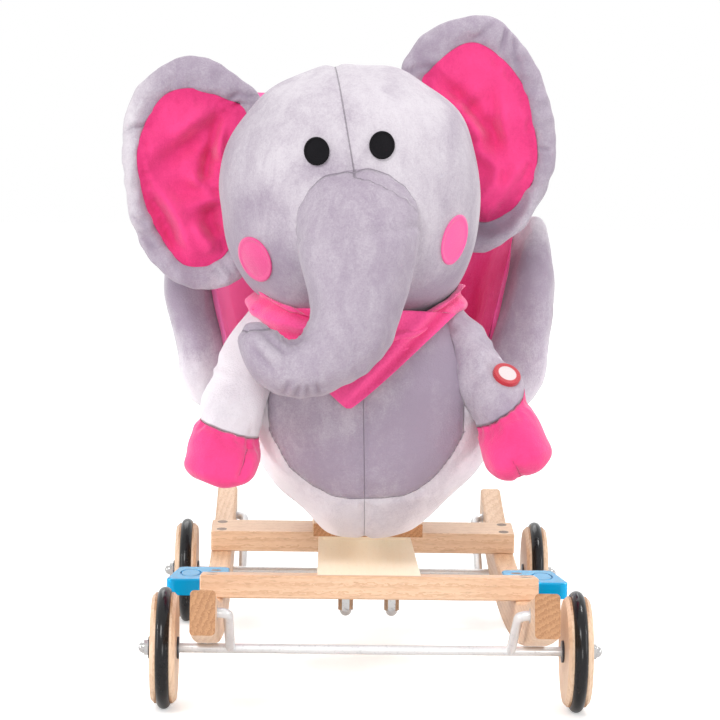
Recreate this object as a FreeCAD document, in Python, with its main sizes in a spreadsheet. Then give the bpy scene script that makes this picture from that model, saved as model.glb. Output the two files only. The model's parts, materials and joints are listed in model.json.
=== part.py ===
"""Plush elephant seat on a wooden frame that either rolls on four wheels or rocks on two runners.

The frame's own middle plane is X = chassis_x, because the tilted head and ears reach further to one side
than the wheels do to the other, and X = 0 is the middle of the whole outline. Y points from nose to tail,
Z points up and Z = 0 is the floor under the wheels. Every blank and tool below is drawn about the frame's
middle plane, and each finished sub-part is then placed chassis_x to the side.
"""
import FreeCAD, Part
import math
import os
import re
import Sketcher
from FreeCAD import Placement, Rotation, Vector

SIZES = [
    # Whole object
    ("chassis_x", 12.7),
    ("running_gap", 0.05),
    ("overrun", 2),
    # Wheels, tyres and axles
    ("wheel_radius", 44),
    ("tyre_wire", 5),
    ("tyre_sink", 4),
    ("disc_width", 18),
    ("disc_chamfer", 2.5),
    ("bush_radius", 7),
    ("bush_flange", 9),
    ("bush_flange_thick", 1.2),
    ("track_half", 149),
    ("axle_reach", 174),
    ("rod_radius", 3.5),
    ("washer_radius", 8),
    ("washer_thick", 1.4),
    ("axle_nut_radius", 5.6),
    ("axle_nut_height", 3.2),
    ("nut_dome_radius", 4.2),
    # Swinging wheel frames
    ("leg_reach", 67),
    ("pivot_rise", 4),
    ("leg_side", 101.5),
    ("leg_bend", 6.5),
    ("axle_gap", 0.3),
    ("pivot_bush_wall", 2),
    # Runners and crossbars
    ("runner_radius", 995),
    ("runner_height", 31),
    ("runner_thick", 17.5),
    ("runner_side", 126.5),
    ("runner_end", 43),
    ("runner_round", 3),
    ("bar_width", 36),
    ("bar_thick", 17.3),
    ("bar_chamfer", 1),
    ("front_bar_reach", 99),
    ("rear_overhang", 17),
    ("screw_spread", 11),
    ("screw_radius", 2.2),
    ("screw_head_radius", 4.2),
    ("screw_head_deep", 2.6),
    ("screw_length", 38),
    # Seat board, risers and studs
    ("board_thick", 6),
    ("board_front_half", 39),
    ("board_rear_half", 36.5),
    ("board_start", 110),
    ("board_length", 257),
    ("board_level", 80.3),
    ("board_slope", 1.7),
    ("stud_spread", 17.3),
    ("stud_radius", 3),
    ("stud_depth", 4),
    ("cap_nut_radius", 5.6),
    ("cap_nut_height", 9),
    ("cap_dome_radius", 4.6),
    ("riser_half", 42),
    ("riser_thick", 18),
    ("rear_riser_inset", 7),
    ("front_riser_half", 34),
    ("front_riser_setback", 55),
    # Footrests
    ("rest_inner", 107),
    ("rest_outer", 155),
    ("rest_back_outer", 147),
    ("rest_front", 62),
    ("rest_back", 2),
    ("rest_top", 75.5),
    ("rest_deep", 12.7),
    ("rest_wall", 2.4),
    ("rest_corner", 6),
    ("rest_edge", 1.5),
    ("rest_groove_long", 16),
    ("rest_groove_wide", 7),
    ("rest_groove", 1.2),
    ("rest_groove_deep", 1.2),
    ("rest_screw_pitch", 26),
    ("rest_boss_radius", 5),
    ("bracket_thick", 3),
    ("bracket_top_half", 18),
    ("bracket_foot_half", 8),
    ("bracket_foot", 44),
    # Wooden boards inside the plush
    ("base_level", 108),
    ("base_thick", 10),
    ("base_half", 42),
    ("base_front", 52),
    ("base_back", 158),
    ("back_board_thick", 9),
    ("back_board_half", 62),
    ("back_board_tall", 296),
    ("post_half", 30),
    ("post_thick", 24),
    ("post_reach", 5),
    ("post_top", 368),
    ("grab_radius", 9),
    ("grab_half", 96),
    ("grab_level", 338),
    ("grab_round", 3),
    # Seat
    ("seat_side", 9),
    ("bowl_top", 226),
    ("bowl_half", 152),
    ("bowl_deep", 104),
    ("bowl_reach", 88),
    ("pad_thick", 22),
    ("pad_half", 99),
    ("pad_deep", 63),
    ("pad_reach", 77),
    ("wing_thick", 50),
    ("wing_top_thick", 26),
    ("wing_side", 126),
    ("wing_height", 131),
    ("wing_front", 5),
    ("wing_corner", 40),
    ("wing_nose", 42),
    ("wing_lean", 6.5),
    ("wing_lining_tall", 82),
    ("wing_lining_front", 24),
    ("lining_thick", 5),
    ("back_half", 132),
    ("back_height", 232),
    ("back_thick", 38),
    ("back_lining_tall", 180),
    ("back_lining_half", 92),
    ("back_lean", 5),
    # Elephant
    ("torso_level", 112),
    ("torso_height", 186),
    ("torso_half", 97),
    ("torso_deep", 76),
    ("torso_reach", 70),
    ("head_x", -21),
    ("head_level", 368),
    ("head_reach", 74),
    ("head_half", 98),
    ("head_deep", 94),
    ("head_tall", 101),
    ("head_tilt", 6.5),
    ("trunk_half", 40),
    ("trunk_deep", 40),
    ("trunk_hang", 110),
    ("trunk_turn", 46),
    ("ear_thick", 30),
    ("ear_reach", 30),
    ("ear_tall", 190),
    ("patch_thick", 1.6),
    ("patch_deep", 6),
    ("eye_radius", 9.5),
    ("face_side", 4),
    ("eye_spread", 24.5),
    ("eye_lift", 38),
    ("cheek_radius", 18),
    ("cheek_spread", 74),
    ("cheek_drop", 38),
    ("scarf_level", 284),
    ("scarf_tall", 26),
    ("scarf_thick", 9),
    ("scarf_half", 76),
    ("scarf_drop", 58),
    ("arm_radius", 28),
    ("paw_radius", 27.5),
    ("shoulder_side", 63),
    ("shoulder_reach", 58),
    ("left_shoulder_level", 268),
    ("right_shoulder_level", 282),
    ("left_paw_side", 112),
    ("right_paw_side", 106),
    ("paw_reach", 150),
    ("left_paw_level", 177),
    ("right_paw_level", 187),
    # Sound button in one arm
    ("button_radius", 10.5),
    ("button_height", 4),
    ("button_proud", 1.6),
    ("button_travel", 2.5),
    ("button_gap", 0.6),
    ("module_half", 12),
    ("module_deep", 14),
    ("cell_radius", 5.8),
    ("cell_height", 5.4),
]

# Shares of a form's own sizes, chosen by hand, from its lowest ring to its highest one.
# Each row: height share, half-width share, half-depth share.
TORSO_SHARES = [
    (0, 0.2, 0.3),
    (0.06, 0.41, 0.52),
    (0.14, 0.6, 0.7),
    (0.28, 0.9, 0.93),
    (0.46, 1, 1),
    (0.66, 0.94, 0.93),
    (0.86, 0.74, 0.76),
    (1, 0.5, 0.52),
]
BALL_SHARES = [
    (-1, 0.22, 0.22),
    (-0.9, 0.52, 0.52),
    (-0.66, 0.8, 0.8),
    (-0.3, 0.98, 0.98),
    (0.1, 1, 1),
    (0.5, 0.89, 0.89),
    (0.82, 0.6, 0.6),
    (1, 0.2, 0.2),
]
BOWL_SHARES = [
    (0, 0.31, 0.62),
    (0.1, 0.4, 0.72),
    (0.24, 0.53, 0.82),
    (0.38, 0.68, 0.88),
    (0.53, 0.84, 0.94),
    (0.7, 0.94, 0.98),
    (1, 1, 1),
]
PAD_SHARES = [
    (0, 0.96, 0.95),
    (0.35, 1, 1),
    (0.75, 0.93, 0.92),
    (1, 0.6, 0.6),
]
# Wing rings: height share, thickness share of the wall there.
WING_SHARES = [(0, 1), (0.25, 1.02), (0.55, 1.02), (0.78, 1), (0.92, 0.84), (0.975, 0.56), (1, 0.24)]
# Points along a wing's middle line: share of its straight run, then degrees round its rear corner.
WING_RUN_SHARES = [0.12, 0.5, 0.9]
WING_TURNS = [25, 50, 75]
# Backrest seen from the front: height share, half-width share, thickness share.
BACK_SHARES = [
    (0, 0.96, 1),
    (0.3, 1, 1.1),
    (0.6, 0.96, 1.05),
    (0.85, 0.76, 0.9),
    (0.96, 0.5, 0.62),
    (1, 0.26, 0.34),
]
# Ear outline, clockwise from its root at the top, as shares of ear_tall from the middle of the head.
# The two ears differ, because the head is tilted and the ears are folded by hand.
LEFT_EAR_SHARES = [
    (-0.34, 0.39), (-0.437, 0.52), (-0.59, 0.574), (-0.8, 0.468),
    (-0.9, 0.137), (-0.826, -0.2), (-0.62, -0.368), (-0.4, -0.12),
]
RIGHT_EAR_SHARES = [
    (0.226, 0.558), (0.337, 0.69), (0.563, 0.753), (0.763, 0.626),
    (0.863, 0.205), (0.795, -0.105), (0.61, -0.221), (0.43, 0.12),
]
# Layers of an ear from its front to its back: depth share of ear_thick, outline share.
EAR_LAYERS = [(-0.5, 0.72), (-0.4, 0.9), (-0.1, 1), (0.25, 0.95), (0.5, 0.7)]
EAR_LINING_SHARE = 0.68
# Trunk rings while it hangs: share of trunk_hang downwards, half-width share, half-depth share and
# forward share of the head's half-depth.
TRUNK_SHARES = [
    (-0.16, 0.5, 0.3, 0.86),
    (0, 0.9, 0.6, 0.98),
    (0.28, 1.02, 0.96, 1.1),
    (0.62, 0.98, 1, 1.2),
    (1, 0.96, 0.97, 1.25),
]
# Trunk rings while it turns aside: turn in degrees, reach from the turning point in shares of trunk_half
# for the near and the far side, and half-depth share.
TRUNK_TURN_SHARES = [
    (38, 0.06, 1.66, 0.9),
    (68, 0.05, 1.36, 0.78),
    (92, 0.04, 1.22, 0.68),
]
TRUNK_TIP_SHARES = [(0.5, 0.62, 0.6), (0.95, 0.5, 0.5), (1.08, 0.22, 0.24)]
TRUNK_TIP_DROP_SHARE = 0.63
# Limb rings: share of the way from shoulder to paw, radius share.
LIMB_SHARES = [
    (-0.14, 0.5), (-0.04, 0.86), (0.2, 1), (0.5, 1), (0.72, 0.95), (0.9, 1), (1.06, 0.86), (1.16, 0.42),
]
PAW_SHARE = 0.74
BUTTON_SHARE = 0.64
# Where the button faces, before it is turned square to the arm: shares of right, back and up.
BUTTON_FACING_SHARES = (0.45, -1, 0)
# Scarf rings: height share, half-width share; and how far out its corner starts.
SCARF_SHARES = [(-0.5, 0.98), (0, 1.06), (0.5, 0.9)]
SCARF_CORNER_SHARE = 0.8

doc = FreeCAD.newDocument("rocking_elephant")
sheet = doc.addObject("Spreadsheet::Sheet", "Sizes")
for row, (alias, number) in enumerate(SIZES, start=1):
    sheet.set(f"A{row}", alias)
    sheet.set(f"B{row}", str(number))
    sheet.setAlias(f"B{row}", alias)
doc.recompute()
ALIASES = {alias for alias, number in SIZES}
X_AXIS = Vector(1, 0, 0)
Y_AXIS = Vector(0, 1, 0)
Z_AXIS = Vector(0, 0, 1)
parts = []


class Cells:
    """Reads one size of the sheet by its name."""

    def __getattr__(self, alias):
        return float(sheet.get(alias))


size = Cells()


def cells(expression):
    """Writes an expression on size names as one on the sheet's cells."""
    return re.sub(r"[a-z_]+", lambda word: "Sizes." + word[0] if word[0] in ALIASES else word[0], expression)


def value(expression):
    """Works out an expression on size names as a plain number."""
    result = sheet.evalExpression(cells(expression))
    return float(getattr(result, "Value", result))


def bind(item, **expressions):
    """Ties properties of an object to the sheet; two underscores stand for a dot."""
    for path, expression in expressions.items():
        item.setExpression(path.replace("__", "."), cells(expression))
    return item


def keep(item, label):
    """Names a finished sub-part and sets it in its place beside the middle of the outline."""
    item.Label = label
    parts.append(item)
    return item


def kept_feature(label, shape):
    """Adds a sub-part whose shape is worked out here, drawn about the frame's middle plane."""
    item = doc.addObject("Part::Feature", label)
    item.Shape = shape
    item.Placement = Placement(Vector(size.chassis_x, 0, 0), Rotation())
    return keep(item, label)


def blank_feature(name, shape):
    """Adds a tool or blank whose shape is worked out here."""
    item = doc.addObject("Part::Feature", name)
    item.Shape = shape
    return item


def kept_cut(label, base, tools):
    """Cuts blanks and places the finished sub-part beside the middle of the outline."""
    item = doc.addObject("Part::Cut", label)
    item.Base = base
    item.Tool = tools
    bind(item, Placement__Base__x="chassis_x")
    return keep(item, label)


def origin_plane(body, role):
    return next(item for item in body.Origin.OriginFeatures if item.Role == role)


def new_body(name):
    return doc.addObject("PartDesign::Body", name)


def new_sketch(body, role):
    sketch = body.newObject("Sketcher::SketchObject", body.Name + "_sketch")
    sketch.AttachmentSupport = (origin_plane(body, role), "")
    sketch.MapMode = "FlatFace"
    return sketch


def hold(sketch, geometry, point, kind, expression):
    """Holds one coordinate of a sketch point to the sheet, or to an axis where it is zero."""
    number = value(expression)
    if number == 0:
        axis = -2 if kind == "DistanceX" else -1
        sketch.addConstraint(Sketcher.Constraint("PointOnObject", geometry, point, axis))
        return
    index = sketch.addConstraint(Sketcher.Constraint(kind, -1, 1, geometry, point, number))
    sketch.setExpression(f"Constraints[{index}]", cells(expression))


def outline(sketch, points):
    """Draws a closed run of lines through points given as pairs of expressions."""
    spots = [Vector(value(across), value(up), 0) for across, up in points]
    count = len(spots)
    for index, spot in enumerate(spots):
        sketch.addGeometry(Part.LineSegment(spot, spots[(index + 1) % count]), False)
    for index in range(count):
        sketch.addConstraint(Sketcher.Constraint("Coincident", index, 2, (index + 1) % count, 1))
    for index, (across, up) in enumerate(points):
        hold(sketch, index, 1, "DistanceX", across)
        hold(sketch, index, 1, "DistanceY", up)


def pad(body, sketch, length):
    feature = body.newObject("PartDesign::Pad", body.Name + "_pad")
    feature.Profile = sketch
    return bind(feature, Length=length)


def turned(name, points):
    """Makes a round body about X from a profile of pairs: place along X, radius."""
    body = new_body(name)
    sketch = new_sketch(body, "XY_Plane")
    outline(sketch, points)
    feature = body.newObject("PartDesign::Revolution", name + "_turn")
    feature.Profile = sketch
    feature.ReferenceAxis = (sketch, ["H_Axis"])
    feature.Angle = 360
    return body


# Places that follow from the sizes
# The runner's underside is an arc that touches the axle, so its middle hangs above the floor.
ARC_LEVEL = "wheel_radius + rod_radius + axle_gap + sqrt(runner_radius ^ 2 - axle_reach ^ 2)"
ARC_TOP = "(runner_radius - runner_height)"
# The leg pivots lie past the axles, a little above the middle of the runner there, and the tips past them.
PIVOT_REACH = "(axle_reach + leg_reach)"
PIVOT_LEVEL = f"{ARC_LEVEL} - sqrt((runner_radius - runner_height / 2) ^ 2 - {PIVOT_REACH} ^ 2) + pivot_rise"
RUNNER_TIP = f"({PIVOT_REACH} + runner_end)"
# The rear crossbar carries the seat board's rear end.
REAR_BAR = "(board_length - board_start - rear_overhang)"
# A flat crossbar spans a hollow arc, so it sits up by the arc's depth over its width.
BAR_LIFT = f"bar_width ^ 2 / (8 * {ARC_TOP})"
arc_level = value(ARC_LEVEL)
arc_top = value(ARC_TOP)
pivot_reach = value(PIVOT_REACH)
pivot_level = value(PIVOT_LEVEL)
runner_tip = value(RUNNER_TIP)


def runner_point(reach):
    """Point on the runner's upper arc at a distance along Y, and the arc's slope there in degrees."""
    slope = math.asin(reach / arc_top)
    return Vector(0, arc_top * math.sin(slope), arc_level - arc_top * math.cos(slope)), math.degrees(slope)


def bar_place(reach):
    """Placement of a crossbar that lies on the runners' upper arc."""
    point, slope = runner_point(reach)
    return Placement(point + Vector(0, 0, value(BAR_LIFT)), Rotation(X_AXIS, slope))


BARS = {"front": -size.front_bar_reach, "rear": value(REAR_BAR)}
ENDS = {"front": -1, "rear": 1}
SIDES = {"left": -1, "right": 1}


def rod(start, end, radius):
    """Round bar between two points."""
    return Part.makeCylinder(radius, (end - start).Length, start, end - start)


def wood_screw():
    """Countersunk screw along -Z with its head's face at the origin."""
    head = Part.makeCone(
        size.screw_head_radius, size.screw_radius, size.screw_head_deep, Vector(), Vector(0, 0, -1)
    )
    shank = rod(Vector(), Vector(0, 0, -size.screw_length), size.screw_radius)
    return head.fuse(shank)


def runner_middle():
    return size.runner_side - size.runner_thick / 2


def bar_screws():
    """Two screws at each end of each crossbar, down into the runners."""
    screws = []
    for reach in BARS.values():
        for side in SIDES.values():
            for spread in (-size.screw_spread, size.screw_spread):
                screw = wood_screw()
                screw.translate(Vector(side * runner_middle(), spread, size.bar_thick))
                screw.Placement = bar_place(reach) * screw.Placement
                screws.append(screw)
    return screws


def rest_screw_places():
    middle = -(size.rest_front + size.rest_back) / 2
    return [
        Vector(side * runner_middle(), middle + shift * size.rest_screw_pitch / 2, size.rest_top)
        for side in SIDES.values()
        for shift in (-1, 1)
    ]


def rest_screws():
    """Two screws through each footrest into the runner below it."""
    screws = []
    for place in rest_screw_places():
        screw = wood_screw()
        screw.translate(place)
        screws.append(screw)
    return screws


screws = bar_screws() + rest_screws()


def pivot_point(end, side):
    return Vector(side * size.runner_side, ENDS[end] * pivot_reach, pivot_level)


def pivot_bush(end, side):
    """Bush through the runner, round the swinging frame's pivot pin."""
    outer = pivot_point(end, side)
    inner = outer - Vector(side * size.runner_thick, 0, 0)
    wall = rod(inner, outer, size.rod_radius + size.running_gap + size.pivot_bush_wall)
    return wall.cut(rod(inner, outer, size.rod_radius + size.running_gap))


def pivot_bore(end, side):
    outer = pivot_point(end, side) + Vector(side * size.overrun, 0, 0)
    inner = outer - Vector(side * (size.runner_thick + 2 * size.overrun), 0, 0)
    return rod(inner, outer, size.rod_radius + size.running_gap + size.pivot_bush_wall)


# Runners
def runner_blank(name):
    """Curved plank between two arcs, drawn in the YZ plane and padded along X, with rounded long edges."""
    body = new_body(name)
    sketch = new_sketch(body, "YZ_Plane")
    middle = Vector(0, arc_level, 0)
    half_turn = math.asin(runner_tip / size.runner_radius)
    low, high = -math.pi / 2 - half_turn, -math.pi / 2 + half_turn
    outer = Part.Circle(middle, Z_AXIS, size.runner_radius)
    inner = Part.Circle(middle, Z_AXIS, arc_top)
    sketch.addGeometry(Part.ArcOfCircle(outer, low, high), False)
    sketch.addGeometry(Part.ArcOfCircle(inner, low, high), False)
    corners = [(curve.StartPoint, curve.EndPoint) for curve in sketch.Geometry]
    sketch.addGeometry(Part.LineSegment(corners[0][0], corners[1][0]), False)
    sketch.addGeometry(Part.LineSegment(corners[0][1], corners[1][1]), False)
    for constraint in (
        ("Coincident", 0, 3, 1, 3), ("Coincident", 0, 1, 2, 1), ("Coincident", 1, 1, 2, 2),
        ("Coincident", 0, 2, 3, 1), ("Coincident", 1, 2, 3, 2), ("PointOnObject", 0, 3, -2),
        ("PointOnObject", 0, 3, 2), ("PointOnObject", 0, 3, 3), ("Symmetric", 0, 1, 0, 2, -2),
    ):
        sketch.addConstraint(Sketcher.Constraint(*constraint))
    hold(sketch, 0, 3, "DistanceY", ARC_LEVEL)
    hold(sketch, 0, 2, "DistanceX", RUNNER_TIP)
    for curve, radius in ((0, "runner_radius"), (1, ARC_TOP)):
        index = sketch.addConstraint(Sketcher.Constraint("Radius", curve, value(radius)))
        sketch.setExpression(f"Constraints[{index}]", cells(radius))
    plank = pad(body, sketch, "runner_thick")
    doc.recompute()
    long_edges = [
        f"Edge{number}"
        for number, edge in enumerate(plank.Shape.Edges, start=1)
        if edge.Length > runner_tip
    ]
    rounding = body.newObject("PartDesign::Fillet", name + "_round")
    rounding.Base = (plank, long_edges)
    return body, bind(rounding, Radius="runner_round")


bores = {
    side: Part.makeCompound([pivot_bore(end, SIDES[side]) for end in ENDS]) for side in SIDES
}
for side in SIDES:
    blank, rounding = runner_blank(side + "_runner_blank")
    bind(blank, Placement__Base__x="-runner_side" if side == "left" else "runner_side - runner_thick")
    tools = blank_feature(side + "_runner_tools", Part.makeCompound([bores[side]] + screws))
    kept_cut(side + "_runner", blank, tools)
kept_feature(
    "pivot_bushes", Part.makeCompound([pivot_bush(end, side) for end in ENDS for side in SIDES.values()])
)


# Seat board, studs and cap nuts
def board_place():
    return Placement(
        Vector(0, -size.board_start, size.board_level), Rotation(X_AXIS, size.board_slope)
    )


def board_blank():
    """Board that narrows to the rear, from the front crossbar to the rear one."""
    body = new_body("seat_board_blank")
    sketch = new_sketch(body, "XY_Plane")
    outline(sketch, [
        ("-board_front_half", "0"), ("board_front_half", "0"),
        ("board_rear_half", "board_length"), ("-board_rear_half", "board_length"),
    ])
    pad(body, sketch, "board_thick")
    body.Placement = board_place()
    return bind(
        body, Placement__Base__y="-board_start", Placement__Base__z="board_level",
        Placement__Rotation__Angle="board_slope",
    )


def stud(reach):
    """Pair of threaded studs from inside the seat board down through a crossbar."""
    place = bar_place(reach)
    foot = place.multVec(Vector(0, 0, 0)) - Vector(0, 0, size.cap_nut_height)
    top = board_place().multVec(Vector(0, reach + size.board_start, size.stud_depth))
    return [
        rod(Vector(side * size.stud_spread, reach, foot.z), Vector(side * size.stud_spread, reach, top.z),
            size.stud_radius)
        for side in SIDES.values()
    ]


def hexagon(radius, height):
    """Six-sided nut blank along Z from the origin."""
    corners = [
        Vector(radius * math.cos(math.radians(turn)), radius * math.sin(math.radians(turn)), 0)
        for turn in range(0, 361, 60)
    ]
    return Part.Face(Part.makePolygon(corners)).extrude(Vector(0, 0, height))


def domed_nut(radius, height, dome_radius):
    """Nut along Z with a rounded closed end."""
    dome = Part.makeSphere(dome_radius, Vector(0, 0, height))
    return hexagon(radius, height).fuse(dome)


studs = [piece for reach in BARS.values() for piece in stud(reach)]
stud_tool = blank_feature("stud_tool", Part.makeCompound(studs))
board = board_blank()
kept_cut("seat_board", board, stud_tool)
kept_feature("seat_studs", Part.makeCompound(studs))


# Crossbars
def bar_blank(name, along, sign):
    """Straight bar on the runners' upper arc, with small chamfers."""
    body = new_body(name)
    sketch = new_sketch(body, "XY_Plane")
    outline(sketch, [
        ("-runner_side", "-bar_width / 2"), ("runner_side", "-bar_width / 2"),
        ("runner_side", "bar_width / 2"), ("-runner_side", "bar_width / 2"),
    ])
    block = pad(body, sketch, "bar_thick")
    doc.recompute()
    chamfer = body.newObject("PartDesign::Chamfer", name + "_chamfer")
    chamfer.Base = (block, [f"Edge{number}" for number in range(1, len(block.Shape.Edges) + 1)])
    bind(chamfer, Size="bar_chamfer")
    reach = f"{sign}{along}"
    slope = f"asin({reach} / {ARC_TOP})"
    body.Placement = bar_place(value(reach))
    if sign == "-":
        body.Placement.Rotation = Rotation(Vector(-1, 0, 0), abs(math.degrees(body.Placement.Rotation.Angle)))
    angle = slope if sign == "" else f"asin({along} / {ARC_TOP})"
    return bind(
        body, Placement__Base__y=reach, Placement__Rotation__Angle=angle,
        Placement__Base__z=f"{ARC_LEVEL} - {ARC_TOP} * cos({slope}) + {BAR_LIFT}",
    )


for end, along, sign in (("front", "front_bar_reach", "-"), ("rear", REAR_BAR, "")):
    blank = bar_blank(end + "_crossbar_blank", along, sign)
    doc.recompute()
    cutters = Part.makeCompound([board.Shape] + studs + screws)
    kept_cut(end + "_crossbar", blank, blank_feature(end + "_crossbar_tools", cutters))


def stud_nuts():
    """Domed nuts on the studs, seated against the undersides of the crossbars."""
    nuts = []
    for reach in BARS.values():
        seat = bar_place(reach)
        for side in SIDES.values():
            nut = domed_nut(size.cap_nut_radius, size.cap_nut_height, size.cap_dome_radius)
            nut.rotate(Vector(), X_AXIS, 180)
            nut.translate(Vector(side * size.stud_spread, reach, seat.Base.z))
            nuts.append(nut)
    return nuts


doc.recompute()
bar_solids = [item for item in parts if item.Label.endswith("_crossbar")]


def chassis_shape(item):
    """A placed sub-part's shape, drawn about the frame's middle plane again."""
    shape = item.Shape.copy()
    shape.translate(Vector(-size.chassis_x, 0, 0))
    return shape


nuts = []
for nut in stud_nuts():
    for cutter in [chassis_shape(item) for item in bar_solids] + studs:
        nut = nut.cut(cutter)
    nuts.append(nut)
kept_feature("seat_cap_nuts", Part.makeCompound(nuts))
kept_feature("frame_screws", Part.makeCompound(screws))


# Seat risers
def riser_block(half, reach, low):
    """Upright wooden block under the seat's base board."""
    return Part.makeBox(
        2 * half, size.riser_thick, size.base_level - low,
        Vector(-half, reach - size.riser_thick / 2, low),
    )


riser_low = size.board_level
risers = [
    riser_block(size.riser_half, value(REAR_BAR) - size.rear_riser_inset, riser_low),
    riser_block(size.front_riser_half, size.front_riser_setback, riser_low),
]
for cutter in [board.Shape] + [chassis_shape(item) for item in bar_solids] + studs:
    risers = [riser.cut(cutter) for riser in risers]
risers = [max(riser.Solids, key=lambda solid: solid.Volume) for riser in risers]
kept_feature("seat_risers", Part.makeCompound(risers))


# Footrests
def rest_wire(inset, side):
    """Plan outline of a footrest, drawn in by a wall's thickness."""
    inner = side * (size.rest_inner + inset)
    outer = side * (size.rest_outer - inset)
    back_outer = side * (size.rest_back_outer - inset)
    front = -size.rest_front + inset
    back = -size.rest_back - inset
    corners = [
        Vector(inner, front, 0), Vector(outer, front, 0), Vector(back_outer, back, 0),
        Vector(inner, back, 0), Vector(inner, front, 0),
    ]
    return Part.makePolygon(corners)


def rounded_prism(wire, low, high, radius):
    """Upright prism whose upright edges are rounded."""
    solid = Part.Face(wire).extrude(Vector(0, 0, high - low))
    solid.translate(Vector(0, 0, low))
    upright = [edge for edge in solid.Edges if abs(edge.Length - (high - low)) < size.running_gap]
    return solid.makeFillet(radius, upright)


def rest_groove(side):
    """Oval groove round the tread."""
    middle = Vector(
        side * (size.runner_side + size.rest_back_outer) / 2,
        -(size.rest_front + size.rest_back) / 2, size.rest_top - size.rest_groove_deep,
    )
    ring = None
    for grow in (size.rest_groove, 0):
        long_half = size.rest_groove_long + grow
        wide_half = size.rest_groove_wide + grow
        ellipse = Part.Ellipse(Vector(), long_half, wide_half)
        disc = Part.Face(Part.Wire(ellipse.toShape())).extrude(Vector(0, 0, size.rest_groove_deep * 2))
        ring = disc if ring is None else ring.cut(disc)
    ring.rotate(Vector(), Z_AXIS, 90)
    ring.translate(middle)
    return ring


def footrest(side):
    """Hollow tread that caps the runner's upper edge behind the front crossbar."""
    low = size.rest_top - size.rest_deep
    body = rounded_prism(rest_wire(0, side), low, size.rest_top, size.rest_corner)
    top_edges = [edge for edge in body.Edges if edge.BoundBox.ZMin > size.rest_top - size.running_gap]
    body = body.makeFillet(size.rest_edge, top_edges)
    hollow = rounded_prism(
        rest_wire(size.rest_wall, side), low - size.overrun, size.rest_top - size.rest_wall,
        size.rest_corner - size.rest_wall,
    )
    body = body.cut(hollow)
    for place in rest_screw_places():
        if place.x * side > 0:
            foot = Vector(place.x, place.y, low)
            boss = rod(foot, place - Vector(0, 0, size.rest_wall), size.rest_boss_radius)
            body = body.fuse(boss)
    runner = next(item for item in parts if item.Label == ("left" if side < 0 else "right") + "_runner")
    body = body.cut(chassis_shape(runner))
    body = body.cut(rest_groove(side))
    for screw in rest_screws():
        body = body.cut(screw)
    return max(body.Solids, key=lambda solid: solid.Volume)


def rest_bracket(side):
    """Steel plate on the runner's outer face, tapered downwards, that carries the footrest's skirt."""
    middle = -(size.rest_front + size.rest_back) / 2
    top = size.rest_top - size.rest_deep
    reach = side * size.runner_side
    corners = [
        Vector(reach, middle - size.bracket_top_half, top), Vector(reach, middle + size.bracket_top_half, top),
        Vector(reach, middle + size.bracket_foot_half, size.bracket_foot),
        Vector(reach, middle - size.bracket_foot_half, size.bracket_foot),
        Vector(reach, middle - size.bracket_top_half, top),
    ]
    plate = Part.Face(Part.makePolygon(corners)).extrude(Vector(side * size.bracket_thick, 0, 0))
    return plate


for name, side in SIDES.items():
    kept_feature(name + "_footrest", footrest(side))
kept_feature("footrest_brackets", Part.makeCompound([rest_bracket(side) for side in SIDES.values()]))


# Wheels
def wheel(name, end, side):
    """Wooden disc with a round tyre in its groove and a bush at its middle."""
    half = "disc_width / 2"
    disc_radius = "(wheel_radius - tyre_sink)"
    disc = turned(name + "_blank", [
        (f"-{half}", "bush_radius"),
        (f"-{half}", f"{disc_radius} - disc_chamfer"),
        (f"-{half} + disc_chamfer", disc_radius),
        (f"{half} - disc_chamfer", disc_radius),
        (half, f"{disc_radius} - disc_chamfer"),
        (half, "bush_radius"),
    ])
    place = Vector(side * size.track_half, ENDS[end] * size.axle_reach, size.wheel_radius)
    groove = doc.addObject("Part::Torus", name + "_groove")
    tyre = doc.addObject("Part::Torus", name + "_tyre")
    for ring, wire in ((groove, "tyre_wire + running_gap"), (tyre, "tyre_wire")):
        bind(ring, Radius1="wheel_radius - tyre_wire", Radius2=wire)
        ring.Placement = Placement(Vector(), Rotation(Y_AXIS, 90))
    cut = kept_cut(name + "_disc", disc, groove)
    flange = turned(name + "_bush", [
        (f"-{half}", "rod_radius + running_gap"),
        (f"-{half}", "bush_radius"),
        (half, "bush_radius"),
        (half, "bush_flange"),
        (f"{half} + bush_flange_thick", "bush_flange"),
        (f"{half} + bush_flange_thick", "rod_radius + running_gap"),
    ])
    if side < 0:
        flange.Placement.Rotation = Rotation(Z_AXIS, 180)
    keep(tyre, name + "_tyre")
    keep(flange, name + "_bush")
    sign = "-" if side < 0 else ""
    lengthwise = "-" if end == "front" else ""
    for item in (cut, tyre, flange):
        item.Placement.Base = place
        bind(
            item, Placement__Base__x=f"chassis_x + {sign}track_half",
            Placement__Base__y=f"{lengthwise}axle_reach", Placement__Base__z="wheel_radius",
        )


for end in ENDS:
    for name, side in SIDES.items():
        wheel(f"{end}_{name}_wheel", end, side)


# Swinging wheel frames
def crank_leg(end, side, axle):
    """Bent rod from a pivot bush in the runner to the axle it is welded to."""
    pivot = pivot_point(end, side)
    corner = Vector(side * size.leg_side, pivot.y, pivot.z)
    foot = Vector(side * size.leg_side, ENDS[end] * size.axle_reach, size.wheel_radius)
    along = (foot - corner).normalize()
    outward = Vector(side, 0, 0)
    start = corner + outward * size.leg_bend
    finish = corner + along * size.leg_bend
    middle = corner + (outward + along) * size.leg_bend
    knee = middle - (outward + along).normalize() * size.leg_bend
    path = Part.Wire([
        Part.LineSegment(pivot, start).toShape(),
        Part.Arc(start, knee, finish).toShape(),
        Part.LineSegment(finish, foot).toShape(),
    ])
    section = Part.Wire(Part.Circle(pivot, outward, size.rod_radius).toShape())
    leg = path.makePipeShell([section], True, False)
    return leg.cut(axle)


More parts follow.
